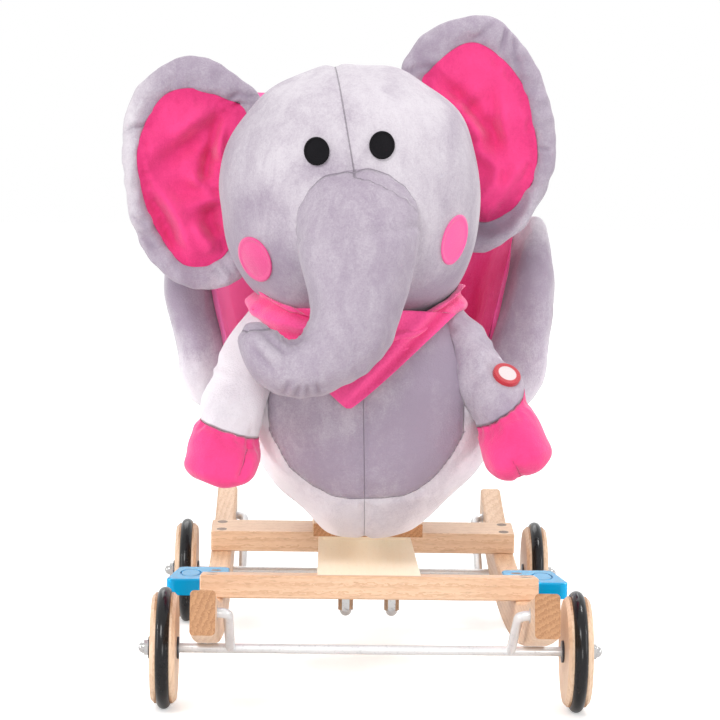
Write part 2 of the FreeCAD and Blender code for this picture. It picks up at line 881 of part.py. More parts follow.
def end_hardware(end):
    """Axle with its welded legs, washers and domed nuts, in the frame's own coordinates."""
    middle = Vector(0, ENDS[end] * size.axle_reach, size.wheel_radius)
    face = size.track_half + size.disc_width / 2
    outer_washer = face + size.bush_flange_thick + size.running_gap
    inner_washer = size.track_half - size.disc_width / 2 - size.running_gap - size.washer_thick
    nut_seat = outer_washer + size.washer_thick
    reach = nut_seat + size.axle_nut_height
    axle = rod(middle - X_AXIS * reach, middle + X_AXIS * reach, size.rod_radius)
    legs = [crank_leg(end, side, axle) for side in SIDES.values()]
    washers, caps = [], []
    for side in SIDES.values():
        for place in (inner_washer, outer_washer):
            start = middle + X_AXIS * (side * place)
            ring = rod(start, start + X_AXIS * (side * size.washer_thick), size.washer_radius)
            washers.append(ring.cut(axle))
        nut = domed_nut(size.axle_nut_radius, size.axle_nut_height, size.nut_dome_radius)
        nut.rotate(Vector(), Y_AXIS, 90 * side)
        nut.translate(middle + X_AXIS * (side * nut_seat))
        below = rod(middle, middle + X_AXIS * (side * nut_seat), size.axle_nut_radius)
        caps.append(nut.cut(axle).cut(below))
    return axle, legs, washers, caps


for end in ENDS:
    axle, legs, washers, caps = end_hardware(end)
    kept_feature(end + "_axle", axle)
    kept_feature(end + "_crank_legs", Part.makeCompound(legs))
    kept_feature(end + "_axle_washers", Part.makeCompound(washers))
    kept_feature(end + "_axle_nuts", Part.makeCompound(caps))


# Wooden boards inside the plush
def board_box(half, front, back, low, high):
    return Part.makeBox(2 * half, back - front, high - low, Vector(-half, front, low))


base_top = size.base_level + size.base_thick
seat_base = board_box(size.base_half, -size.base_front, size.base_back, size.base_level, base_top)


def back_reach(level):
    """Middle of the leaning back board, and of the backrest round it, at a height."""
    lean = (level - base_top) * math.tan(math.radians(size.back_lean))
    return size.base_back - size.back_board_thick + lean


def leaning_board():
    """Board that stands on the rear end of the base and leans back."""
    board = board_box(
        size.back_board_half, -size.back_board_thick / 2, size.back_board_thick / 2,
        base_top - size.base_thick, base_top + size.back_board_tall,
    )
    pivot = Vector(0, 0, base_top)
    board.rotate(pivot, X_AXIS, -size.back_lean)
    board.translate(Vector(0, back_reach(base_top), 0))
    return board.cut(board_box(
        size.back_board_half * 2, -size.base_front, size.base_back + size.base_thick,
        size.base_level - size.base_thick, base_top,
    ))


back_board = leaning_board()
head_post = board_box(
    size.post_half, -size.post_reach - size.post_thick / 2, -size.post_reach + size.post_thick / 2,
    base_top, size.post_top,
)
grab_middle = Vector(size.head_x / 2, -size.post_reach, size.grab_level)
grab_bar = rod(grab_middle - X_AXIS * size.grab_half, grab_middle + X_AXIS * size.grab_half, size.grab_radius)
grab_bar = grab_bar.makeFillet(size.grab_round, [edge for edge in grab_bar.Edges if edge.Closed])
head_post = head_post.cut(grab_bar)
kept_feature("seat_base", seat_base)
kept_feature("back_board", back_board)
kept_feature("head_post", head_post)
kept_feature("grab_bar", grab_bar)
boards = [seat_base, back_board, head_post, grab_bar]


# Soft forms
def ring(middle, across, along, half_across, half_along):
    """Closed ring of four arcs through eight points of an oval."""
    spots = [
        middle + across * (half_across * math.cos(turn)) + along * (half_along * math.sin(turn))
        for turn in [math.pi * step / 4 - math.pi / 4 for step in range(8)]
    ]
    arcs = [Part.Arc(spots[i], spots[i + 1], spots[(i + 2) % 8]).toShape() for i in range(0, 8, 2)]
    return Part.Wire(arcs)


def lofted(rings):
    return Part.makeLoft(rings, True, False)


def level_form(shares, middle, low, height, half, deep):
    """Form of level rings: each row holds height, half-width and half-depth shares."""
    return lofted([
        ring(Vector(middle.x, middle.y, low + share * height), X_AXIS, Y_AXIS, half * width, deep * depth)
        for share, width, depth in shares
    ])


def less(shape, cutters):
    """Cuts a soft form by the larger ones and keeps its largest solid."""
    for cutter in cutters:
        shape = shape.cut(cutter)
    return max(shape.Solids, key=lambda solid: solid.Volume)


# Seat
def bowl_form():
    """Rounded lower half of the seat, which leans a little to one side as it rises."""
    low = size.base_level
    height = size.bowl_top - low
    return lofted([
        ring(Vector(-size.seat_side * share, size.bowl_reach, low + share * height), X_AXIS, Y_AXIS,
             size.bowl_half * width, size.bowl_deep * depth)
        for share, width, depth in BOWL_SHARES
    ])


bowl_raw = bowl_form()
torso_raw = level_form(
    TORSO_SHARES, Vector(0, -size.torso_reach, 0), size.torso_level, size.torso_height,
    size.torso_half, size.torso_deep,
)
bowl = less(bowl_raw, boards + [torso_raw] + risers)
kept_feature("seat_bowl", bowl)
seat_pad = level_form(
    PAD_SHARES, Vector(-size.seat_side, size.pad_reach, 0), size.bowl_top, size.pad_thick, size.pad_half,
    size.pad_deep,
)


def wall_run(front, turns):
    """Middle line of a seat side from its front to round its rear corner: points from the seat's middle, and
    the outward directions there."""
    core = Vector(size.wing_side - size.wing_corner, back_reach(size.bowl_top) - size.wing_corner, 0)
    run = [(Vector(size.wing_side, front + share * (core.y - front), 0), X_AXIS) for share in WING_RUN_SHARES]
    for turn in turns:
        out = Vector(math.cos(math.radians(turn)), math.sin(math.radians(turn)), 0)
        run.append((core + out * size.wing_corner, out))
    return run


def band_ring(side, level, front, turns, near, far):
    """Closed smooth ring round a stretch of a seat side, from near to far of its middle line."""
    run = wall_run(front, turns)
    outer = [point + out * far for point, out in run]
    inner = [point + out * near for point, out in run]
    nose = Vector(size.wing_side + (near + far) / 2, front, 0)
    spots = [nose] + outer + inner[::-1]
    spots = [Vector(side * spot.x - size.seat_side, spot.y, level) for spot in spots]
    curve = Part.BSplineCurve()
    curve.interpolate(spots, PeriodicFlag=True)
    return Part.Wire(curve.toShape())


def wall_at(level):
    """Lean outwards and half thickness of a seat side at a height."""
    rise = level - size.bowl_top
    lean = rise * math.tan(math.radians(size.wing_lean))
    share = min(1, max(0, rise / size.wing_height))
    return lean, (size.wing_thick + (size.wing_top_thick - size.wing_thick) * share) / 2


def wing(side):
    """Side of the seat on the bowl: it thins and leans out as it rises, its front's top is rounded back, and
    its rear turns into the backrest."""
    rings = []
    for share, thick in WING_SHARES:
        level = size.bowl_top + share * size.wing_height
        lean, half = wall_at(level)
        drop = max(0, level - (size.bowl_top + size.wing_height - size.wing_nose))
        front = size.wing_front + size.wing_nose - math.sqrt(max(0, size.wing_nose ** 2 - drop ** 2))
        rings.append(band_ring(side, level, front, WING_TURNS, lean - half * thick, lean + half * thick))
    return lofted(rings)


def back_form():
    """Backrest that stands on the bowl round its board and leans back."""
    rings = []
    for share, width, thick in BACK_SHARES:
        level = size.bowl_top + share * size.back_height
        middle = Vector(-size.seat_side, back_reach(level), level)
        rings.append(ring(middle, X_AXIS, Y_AXIS, size.back_half * width, size.back_thick / 2 * thick))
    return lofted(rings)


backrest = less(back_form(), [back_board])
wings = {name: less(wing(side), [backrest, back_board]) for name, side in SIDES.items()}
seat_pad = less(seat_pad, [backrest] + list(wings.values()) + [torso_raw, head_post])


def wing_lining(side):
    """Thin padded panel on the inner face of a wing, above the seat pad."""
    rings = []
    low = size.bowl_top + size.pad_thick + size.lining_thick
    for share in (0, 0.5, 1):
        level = low + share * size.wing_lining_tall
        lean, half = wall_at(level)
        near = lean - half - size.lining_thick
        rings.append(band_ring(side, level, size.wing_lining_front, [], near, near + 2 * size.lining_thick))
    return lofted(rings)


def back_panel():
    """Padded panel on the backrest's front, above the seat pad."""
    rings = []
    low = size.bowl_top + size.pad_thick + size.lining_thick
    for share, width, thick in BACK_SHARES:
        level = low + share * size.back_lining_tall
        middle = Vector(-size.seat_side, back_reach(level) - size.back_thick / 2, level)
        rings.append(ring(middle, X_AXIS, Y_AXIS, size.back_lining_half * width, size.lining_thick * 2 * thick))
    return lofted(rings)


back_lining = less(back_panel(), [backrest] + list(wings.values()))
wing_linings = [less(wing_lining(side), [wings[name], backrest, back_lining]) for name, side in SIDES.items()]
kept_feature("backrest", backrest)
for name in SIDES:
    kept_feature(name + "_wing", wings[name])
kept_feature("seat_pad", seat_pad)
kept_feature("wing_linings", Part.makeCompound(wing_linings))
kept_feature("back_lining", back_lining)


# Head, trunk and ears
head_middle = Vector(size.head_x, -size.head_reach, size.head_level)
head_place = Placement(head_middle, Rotation(Y_AXIS, -size.head_tilt))


def head_form():
    """Round head, tilted sideways, drawn about its own middle."""
    form = lofted([
        ring(Vector(0, 0, share * size.head_tall), X_AXIS, Y_AXIS, size.head_half * width,
             size.head_deep * depth)
        for share, width, depth in BALL_SHARES
    ])
    form.Placement = head_place
    return form


head_raw = head_form()
torso = less(torso_raw, boards + [head_raw])
kept_feature("torso", torso)


def trunk():
    """Hangs from the face, then turns aside; its rings stay upright to its own run."""
    top = head_middle + Vector(0, 0, size.trunk_half / 2)
    rings = []
    for drop, width, depth, forward in TRUNK_SHARES:
        middle = top + Vector(0, -forward * size.head_deep, -drop * size.trunk_hang)
        middle.y += size.trunk_deep / 2
        rings.append(ring(middle, X_AXIS, Y_AXIS, size.trunk_half * width, size.trunk_deep * depth))
    last = top + Vector(0, -TRUNK_SHARES[-1][3] * size.head_deep + size.trunk_deep / 2, -size.trunk_hang)
    pivot = last - X_AXIS * (size.trunk_half * TRUNK_SHARES[-1][1] + size.overrun)
    for turn, near, far, depth in TRUNK_TURN_SHARES:
        spoke = Vector(math.cos(math.radians(turn)), 0, -math.sin(math.radians(turn)))
        middle = pivot + spoke * (size.trunk_half * (near + far) / 2)
        rings.append(ring(middle, spoke, Y_AXIS, size.trunk_half * (far - near) / 2, size.trunk_deep * depth))
    spoke = Vector(0, 0, -1)
    start = pivot + spoke * (size.trunk_half * TRUNK_TIP_DROP_SHARE)
    for run, width, depth in TRUNK_TIP_SHARES:
        middle = start - X_AXIS * (size.trunk_turn * run)
        rings.append(ring(middle, spoke, Y_AXIS, size.trunk_half * width, size.trunk_deep * depth))
    return lofted(rings)


trunk_form = less(trunk(), [head_raw, torso_raw])
kept_feature("trunk", trunk_form)


def ear_wire(shares, grow, reach):
    """Ear outline as four arcs, drawn in about its own middle."""
    spots = [
        Vector(head_middle.x + across * size.ear_tall, reach, head_middle.z + up * size.ear_tall)
        for across, up in shares
    ]
    middle = Vector()
    for spot in spots:
        middle = middle + spot * (1 / len(spots))
    spots = [middle + (spot - middle) * grow for spot in spots]
    arcs = [Part.Arc(spots[i], spots[i + 1], spots[(i + 2) % 8]).toShape() for i in range(0, 8, 2)]
    return Part.Wire(arcs)


def ear(shares):
    """Padded ear: its outline grows from the front to the middle and shrinks again."""
    return lofted([
        ear_wire(shares, grow, -size.ear_reach + depth * size.ear_thick) for depth, grow in EAR_LAYERS
    ])


def ear_lining(shares):
    """Flat patch sewn on an ear's front face."""
    front = -size.ear_reach - size.ear_thick / 2
    face = Part.Face(ear_wire(shares, EAR_LINING_SHARE, front - size.patch_thick))
    return face.extrude(Vector(0, size.patch_thick, 0))


ears = {
    "left": less(ear(LEFT_EAR_SHARES), [head_raw] + list(wings.values())),
    "right": less(ear(RIGHT_EAR_SHARES), [head_raw] + list(wings.values())),
}
for name, shape in ears.items():
    kept_feature(name + "_ear", shape)
ear_linings = [less(ear_lining(shares), [head_raw]) for shares in (LEFT_EAR_SHARES, RIGHT_EAR_SHARES)]
kept_feature("ear_linings", Part.makeCompound(ear_linings))


def face_patch(across, up, radius):
    """Round patch let into the head's skin, square to it, at a place measured from the head's middle."""
    run = Part.LineSegment(
        head_place.multVec(Vector(across, -2 * size.head_deep, up)), head_place.multVec(Vector(across, 0, up))
    ).toShape()
    spot = min(head_raw.common(run).Vertexes, key=lambda vertex: vertex.Y).Point
    flat = head_place.inverse().multVec(spot)
    normal = Vector(flat.x / size.head_half ** 2, flat.y / size.head_deep ** 2, flat.z / size.head_tall ** 2)
    normal = head_place.Rotation.multVec(normal.normalize())
    return rod(spot - normal * size.patch_deep, spot + normal * size.patch_thick, radius)


eyes = [
    face_patch(size.face_side + side * size.eye_spread, size.eye_lift, size.eye_radius)
    for side in SIDES.values()
]
cheeks = [
    face_patch(size.face_side + side * size.cheek_spread, -size.cheek_drop, size.cheek_radius)
    for side in SIDES.values()
]
head = less(head_raw, [head_post, grab_bar] + eyes + cheeks)
kept_feature("head", head)
kept_feature("eyes", Part.makeCompound(eyes))
kept_feature("cheeks", Part.makeCompound(cheeks))


# Arms, paws and the sound button
def limb(shoulder, paw):
    """Arm from shoulder to paw, and the two pieces it is sewn from."""
    along = paw - shoulder
    unit = Vector(along).normalize()
    across = unit.cross(Z_AXIS).normalize()
    over = across.cross(unit)
    rings = [
        ring(shoulder + along * share, across, over, size.arm_radius * radius, size.arm_radius * radius)
        for share, radius in LIMB_SHARES
    ]
    whole = lofted(rings)
    seam = shoulder + along * PAW_SHARE
    box = Part.makeBox(
        4 * size.arm_radius, 4 * size.arm_radius, 4 * size.arm_radius,
        Vector(-2 * size.arm_radius, -2 * size.arm_radius, 0),
    )
    box.Placement = Placement(seam, Rotation(Z_AXIS, unit))
    return whole.cut(box), whole.common(box)


def joint_point(side, across, reach, level):
    return Vector(side * across, -reach, level)


larger = [torso_raw, head_raw, bowl_raw] + list(ears.values()) + [trunk_form]
left_arm, left_paw = limb(
    joint_point(-1, size.shoulder_side, size.shoulder_reach, size.left_shoulder_level),
    joint_point(-1, size.left_paw_side, size.paw_reach, size.left_paw_level),
)
right_shoulder = joint_point(1, size.shoulder_side, size.shoulder_reach, size.right_shoulder_level)
right_paw_end = joint_point(1, size.right_paw_side, size.paw_reach, size.right_paw_level)
right_arm, right_paw = limb(right_shoulder, right_paw_end)
arm_axis = (right_paw_end - right_shoulder).normalize()
button_out = Vector(*BUTTON_FACING_SHARES)
button_out = (button_out - arm_axis * button_out.dot(arm_axis)).normalize()
arm_core = right_shoulder + (right_paw_end - right_shoulder) * BUTTON_SHARE
button_face = arm_core + button_out * (size.arm_radius + size.button_proud)
button_back = button_face - button_out * size.button_height
sound_button = rod(button_back, button_face, size.button_radius)
sound_button = sound_button.makeFillet(
    size.button_proud / 2, [edge for edge in sound_button.Edges if edge.Closed]
)
module_front = button_back - button_out * (size.button_travel + size.button_gap)
module_back = module_front - button_out * size.module_deep
sound_module = rod(module_back, module_front, size.module_half)
cell_back = module_back + button_out * ((size.module_deep - size.cell_height) / 2)
battery = rod(cell_back, cell_back + button_out * size.cell_height, size.cell_radius)
well = rod(
    module_front, button_face + button_out * size.overrun, size.button_radius + size.button_gap
)
sound_module = sound_module.cut(battery)
right_arm = less(right_arm, larger + [well, sound_module, battery])
kept_feature("left_arm", less(left_arm, larger))
kept_feature("right_arm", right_arm)
kept_feature("paws", Part.makeCompound([less(left_paw, larger), less(right_paw, larger)]))
kept_feature("sound_module", sound_module)
kept_feature("batteries", battery)
kept_feature("sound_button", sound_button)


# Scarf
def scarf():
    """Band round the neck with a corner that hangs at the front."""
    middle = Vector(size.head_x / 2, -size.torso_reach, size.scarf_level)
    band = lofted([
        ring(middle + Vector(0, 0, share * size.scarf_tall), X_AXIS, Y_AXIS,
             size.scarf_half * grow, size.scarf_half * grow)
        for share, grow in SCARF_SHARES
    ])
    low = size.scarf_level - size.scarf_drop
    corner = Part.makePolygon([
        Vector(middle.x - size.scarf_half * SCARF_CORNER_SHARE, 0, size.scarf_level),
        Vector(middle.x, 0, low),
        Vector(middle.x + size.scarf_half * SCARF_CORNER_SHARE, 0, size.scarf_level),
        Vector(middle.x - size.scarf_half * SCARF_CORNER_SHARE, 0, size.scarf_level),
    ])
    flap = Part.Face(corner).extrude(Vector(0, -2 * size.torso_deep, 0))
    flap.translate(Vector(0, -size.torso_reach, 0))
    shell = level_form(
        TORSO_SHARES, Vector(0, -size.torso_reach, 0), size.torso_level, size.torso_height,
        size.torso_half + size.scarf_thick / 2, size.torso_deep + size.scarf_thick / 2,
    )
    return band, flap.common(shell)


band, flap = scarf()
scarf_cutters = [torso_raw, head_raw, trunk_form, right_arm, left_arm, head_post]
kept_feature("scarf", less(band.fuse(flap), scarf_cutters))


# Checks and files
doc.recompute()
for item in doc.Objects:
    if "Invalid" in item.State or "Error" in item.State:
        raise RuntimeError(f"{item.Label} failed: {item.State}")
names = [item.Label for item in parts]
if len(names) != len(set(names)):
    raise RuntimeError("two sub-parts share a name")
for item in parts:
    if item.Shape.isNull() or not item.Shape.isValid() or not item.Shape.Solids:
        raise RuntimeError(f"{item.Label} has no valid solid")
os.makedirs("parts", exist_ok=True)
for item in parts:
    item.Shape.exportStep(f"parts/{item.Label}.step")
print(len(parts), "sub-parts written")
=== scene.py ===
"""Looks of the rocking elephant: plush skins, seat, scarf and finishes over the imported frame.

Shapes are written in millimetres about the frame's middle plane; placed() moves them to the row frame in metres.
"""
import json

import bpy
import numpy as np
from mathutils import Matrix, Vector

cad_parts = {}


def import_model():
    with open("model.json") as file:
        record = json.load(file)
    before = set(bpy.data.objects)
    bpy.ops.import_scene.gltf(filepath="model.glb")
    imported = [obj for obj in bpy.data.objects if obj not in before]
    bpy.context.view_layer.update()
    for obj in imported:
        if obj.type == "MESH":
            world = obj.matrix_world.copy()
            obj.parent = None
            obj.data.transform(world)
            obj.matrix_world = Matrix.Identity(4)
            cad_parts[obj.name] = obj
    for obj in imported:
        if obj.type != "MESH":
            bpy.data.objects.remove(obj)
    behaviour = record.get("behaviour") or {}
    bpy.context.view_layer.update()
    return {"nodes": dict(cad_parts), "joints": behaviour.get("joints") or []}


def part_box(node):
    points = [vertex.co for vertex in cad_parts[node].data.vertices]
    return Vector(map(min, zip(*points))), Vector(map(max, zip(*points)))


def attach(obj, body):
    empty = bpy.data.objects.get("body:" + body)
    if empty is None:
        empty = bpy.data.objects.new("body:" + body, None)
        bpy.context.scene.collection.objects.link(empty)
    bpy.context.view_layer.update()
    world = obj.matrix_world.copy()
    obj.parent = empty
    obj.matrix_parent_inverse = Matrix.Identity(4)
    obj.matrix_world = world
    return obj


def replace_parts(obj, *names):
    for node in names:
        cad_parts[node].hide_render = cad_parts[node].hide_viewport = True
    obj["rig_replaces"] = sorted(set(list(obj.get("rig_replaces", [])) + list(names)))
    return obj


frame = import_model()

SIDE = 12.7                      # the chassis stands this far to +X of the row frame's middle
SEAT_X = -9.0                    # middle of the seat
ROOT = "root"
WAVES = 14                       # sine waves in an uneven field
CLOTH_FRAMES = 20                # length of the cloth pass
NO_SEAM = 40.0                   # millimetres from a seam that the shaders don't show
PRESS = next(j for j in frame["joints"] if j["name"] == "sound_button_press")
BUTTON_OUT = -np.array(PRESS["axis"], float)             # the way the sound button faces
BUTTON_MIDDLE = np.array(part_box("sound_button")).mean(0)   # metres in the row frame


# ---------------------------------------------------------------- curves and skins

def placed(points):
    """Millimetres about the chassis to metres in the row frame."""
    return (np.asarray(points, float) + [SIDE, 0.0, 0.0]) * 0.001


def signed(values, power):
    """The size of each value to that power, with its sign."""
    return np.sign(values) * np.abs(values) ** power


def turns(count):
    """Angles once round, the last one short of the first."""
    return np.linspace(0, 2 * np.pi, count, endpoint=False)


def oval(around, power):
    """The x and y shares of a boxy oval: cosine and sine of each angle, to the power 2 over power."""
    a = turns(around)
    return signed(np.cos(a), 2 / power), signed(np.sin(a), 2 / power)


def spline(rows, count, closed=False, even=True):
    """Catmull-Rom through the rows, any number of columns; even steps along the first two columns where asked."""
    p = np.asarray(rows, float)
    n = len(p)
    spans = n if closed else n - 1
    t = np.linspace(0, spans, spans * 32 + 1)
    i = np.minimum(t.astype(int), spans - 1)
    f = (t - i)[:, None]
    take = (lambda k: p[k % n]) if closed else (lambda k: p[np.clip(k, 0, n - 1)])
    a, b, c, d = take(i - 1), take(i), take(i + 1), take(i + 2)
    q = 0.5 * (2 * b + (c - a) * f + (2 * a - 5 * b + 4 * c - d) * f ** 2 + (3 * b - a - 3 * c + d) * f ** 3)
    along = t
    if even:
        along = np.concatenate([[0], np.cumsum(np.linalg.norm(np.diff(q[:, :2], axis=0), axis=1))])
    at = np.linspace(0, along[-1], count, endpoint=not closed)
    return np.stack([np.interp(at, along, q[:, k]) for k in range(q.shape[1])], axis=1)


def swell(points, size, seed):
    """A smooth uneven field, mostly between -1 and 1: the sum of sine waves of about that wavelength, in seeded
    directions and phases, over 5."""
    rng = np.random.default_rng(seed)
    ways = rng.normal(size=(WAVES, 3))
    ways /= np.linalg.norm(ways, axis=1, keepdims=True)
    ways *= (2 * np.pi / size) * rng.uniform(0.7, 1.5, (WAVES, 1))
    return np.sin(points @ ways.T + rng.uniform(0, 6.28, WAVES)).sum(axis=-1) / 5.0


def step(x, low, high):
    """0 below low, 1 above high, smooth between."""
    t = np.clip((x - low) / (high - low), 0, 1)
    return t * t * (3 - 2 * t)


def reach(outline, middle, angles):
    """How far a closed outline of (x, z) lies from its middle at each angle, read off a dense spline."""
    loop = spline(outline, 720, closed=True) - middle
    a = np.arctan2(loop[:, 1], loop[:, 0])
    order = np.argsort(a)
    return np.interp(angles, a[order], np.hypot(loop[:, 0], loop[:, 1])[order], period=2 * np.pi)


def creased(points, lines):
    """Height of listed folds seen from the front, in mm: each line is (height, width, corners in x and z).
    It adds height times exp(-(distance/width)**2), less towards its two ends."""
    x, z = points[..., 0], points[..., 2]
    total = np.zeros(x.shape)
    for height, width, corners in lines:
        p = np.array(corners, float)
        runs = np.concatenate([[0], np.cumsum(np.hypot(*np.diff(p, axis=0).T))])
        near, along = np.full(total.shape, 1e9), np.zeros(total.shape)
        for i in range(len(p) - 1):
            way = p[i + 1] - p[i]
            share = np.clip(((x - p[i, 0]) * way[0] + (z - p[i, 1]) * way[1]) / (way @ way), 0, 1)
            gap = np.hypot(x - p[i, 0] - share * way[0], z - p[i, 1] - share * way[1])
            along = np.where(gap < near, runs[i] + share * (runs[i + 1] - runs[i]), along)
            near = np.minimum(near, gap)
        ends = step(np.minimum(along, runs[-1] - along), -0.15 * runs[-1], 0.35 * runs[-1])
        total = total + height * ends * np.exp(-(near / width) ** 2)
    return total


def radial(middle, radius, a, y):
    """Rings in the x-z plane: points at radius and angle from the middle, at depth y."""
    rings = np.zeros(np.broadcast(radius, a).shape + (3,))
    rings[..., 0] = middle[0] + radius * np.cos(a)
    rings[..., 1] = y
    rings[..., 2] = middle[1] + radius * np.sin(a)
    return rings


def tower(table, levels, around, power, x=0.0, y=0.0):
    """Boxy oval rings about (x, y), up a table of (height, half width, half depth) joined by a spline."""
    rows = spline([(i, *row) for i, row in enumerate(table)], levels)
    c, s = oval(around, power)
    rings = np.zeros((levels, around, 3))
    rings[..., 0] = x + rows[:, 2:3] * c
    rings[..., 1] = y + rows[:, 3:4] * s
    rings[..., 2] = rows[:, 1:2]
    return rings


def outwards(rings):
    """Unit normals of a grid of rings, from the cross product of its two directions, turned away from the middle."""
    around = np.roll(rings, -1, 1) - np.roll(rings, 1, 1)
    along = np.gradient(rings, axis=0)
    n = np.cross(around, along)
    n /= np.maximum(np.linalg.norm(n, axis=2, keepdims=True), 1e-9)
    centre = rings.mean((0, 1))
    return n if ((rings - centre) * n).sum() > 0 else -n


def pushed(rings, amount):
    """Each point of the rings moved along its normal by amount, in mm."""
    return rings + outwards(rings) * amount[..., None]


def skin(name, rings, looks, slot, nodes=(), ends_join=False, **fields):
    """A closed surface: neighbouring rings joined by quads, both ends closed by fans, or joined to each other.
    Faces are turned outwards by the signed volume. Fields are kept as point attributes."""
    m, n = rings.shape[:2]
    points = rings.reshape(-1, 3)
    lower, upper = np.arange(m - 1), np.arange(1, m)
    if ends_join:
        lower, upper = np.arange(m), (np.arange(m) + 1) % m
    k = np.arange(n)
    k2 = (k + 1) % n
    low, up = lower[:, None] * n, upper[:, None] * n
    quads = np.stack([low + k, low + k2, up + k2, up + k], -1).reshape(-1, 4)
    fans = np.zeros((0, 3), int)
    if not ends_join:
        points = np.concatenate([points, rings[0].mean(0)[None], rings[-1].mean(0)[None]])
        last, hub = (m - 1) * n, np.full(n, m * n)
        fans = np.concatenate([np.stack([hub, k2, k], 1), np.stack([hub + 1, last + k, last + k2], 1)])
    tri = np.concatenate([quads[:, [0, 1, 2]], quads[:, [0, 2, 3]], fans])
    a, b, c = (points[tri[:, j]] for j in range(3))
    if np.einsum("ij,ij->i", a, np.cross(b, c)).sum() < 0:
        quads, fans = quads[:, ::-1], fans[:, ::-1]
    mesh = bpy.data.meshes.new(name)
    mesh.from_pydata(placed(points).tolist(), [], quads.tolist() + fans.tolist())
    mesh.polygons.foreach_set("use_smooth", np.ones(len(mesh.polygons), bool))
    fields.setdefault("second_seam", NO_SEAM)
    for key, grid in fields.items():
        flat = np.broadcast_to(grid, (m, n)).reshape(-1)
        if len(points) > m * n:
            flat = np.concatenate([flat, [flat[:n].mean(), flat[-n:].mean()]])
        mesh.attributes.new(key, "FLOAT", "POINT").data.foreach_set("value", flat.astype(np.float32))
    mesh.update()
    piece = bpy.data.objects.new(name, mesh)
    bpy.context.scene.collection.objects.link(piece)
    mesh.materials.append(looks)
    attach(piece, ROOT)
    if nodes:
        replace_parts(piece, *nodes)
    return piece


def joined(name, parts):
    """Several skins as one piece under one name, keeping materials, attributes and CAD nodes."""
    stands_for = sorted({n for p in parts for n in p.get("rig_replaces", [])})
    bpy.ops.object.select_all(action="DESELECT")
    for p in parts:
        p.select_set(True)
    bpy.context.view_layer.objects.active = parts[0]
    bpy.ops.object.join()
    parts[0].name = parts[0].data.name = name
    if stands_for:
        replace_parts(parts[0], *stands_for)
    return parts[0]


def points_of(piece):
    """A finished piece's points, in mm about the chassis."""
    co = np.zeros(len(piece.data.vertices) * 3)
    piece.data.vertices.foreach_get("co", co)
    return co.reshape(-1, 3) * 1000 - [SIDE, 0, 0]


def marked(piece, **fields):
    """Gives a piece its point attributes again after the cloth pass."""
    for key, value in fields.items():
        field = piece.data.attributes.get(key) or piece.data.attributes.new(key, "FLOAT", "POINT")
        field.data.foreach_set("value", value.astype(np.float32))
    return piece


def stuffed(piece, voxel, pressure, cap):
    """Cloth pass: the skin is voxel remeshed and swells under inner pressure for 20 frames without gravity.
    No point moves more than cap. One subdivision follows."""
    scene = bpy.context.scene

    def settled(kind, **settings):
        m = piece.modifiers.new(kind, kind)
        for key, value in settings.items():
            setattr(m, key, value)
        piece.data = bpy.data.meshes.new_from_object(piece.evaluated_get(bpy.context.evaluated_depsgraph_get()))
        piece.modifiers.clear()

    settled("REMESH", mode="VOXEL", voxel_size=voxel, use_smooth_shade=True)
    start = np.zeros(len(piece.data.vertices) * 3)
    piece.data.vertices.foreach_get("co", start)
    cloth = piece.modifiers.new("cloth", "CLOTH")
    cloth.settings.use_pressure = True
    cloth.settings.uniform_pressure_force = pressure
    cloth.settings.effector_weights.gravity = 0
    cloth.settings.quality = 5
    cloth.point_cache.frame_end = CLOTH_FRAMES
    for frame_number in range(1, CLOTH_FRAMES + 1):
        scene.frame_set(frame_number)
    held = bpy.data.meshes.new_from_object(piece.evaluated_get(bpy.context.evaluated_depsgraph_get()))
    end = np.zeros_like(start)
    held.vertices.foreach_get("co", end)
    piece.modifiers.clear()
    scene.frame_set(1)
    move = (end - start).reshape(-1, 3)
    far = np.linalg.norm(move, axis=1, keepdims=True)
    move *= np.minimum(1, cap / np.maximum(far, 1e-9))
    piece.data.vertices.foreach_set("co", start + move.reshape(-1))
    bpy.data.meshes.remove(held)
    settled("SUBSURF", levels=1, render_levels=1)
    piece.data.polygons.foreach_set("use_smooth", np.ones(len(piece.data.polygons), bool))
    return piece


# ---------------------------------------------------------------- shader writing

class Wire:
    """One output socket; arithmetic on it adds Math nodes to its board."""

    def __init__(self, board, socket):
        self.board, self.socket = board, socket

    def maths(self, operation, *values):
        return self.board.node("ShaderNodeMath", {"operation": operation}, *values)

    def __add__(self, other): return self.maths("ADD", self, other)
    def __sub__(self, other): return self.maths("SUBTRACT", self, other)
    def __mul__(self, other): return self.maths("MULTIPLY", self, other)
    def __rsub__(self, other): return self.maths("SUBTRACT", other, self)
    def __pow__(self, other): return self.maths("POWER", self, other)
    def least(self, other): return self.maths("MINIMUM", self, other)
    def most(self, other): return self.maths("MAXIMUM", self, other)
    def size(self): return self.maths("ABSOLUTE", self)
    __radd__, __rmul__ = __add__, __mul__

    def ramp(self, low, high):
        """0 below low, 1 above high, smooth between."""
        return self.board.node("ShaderNodeMapRange", {"interpolation_type": "SMOOTHSTEP"}, self, low, high)


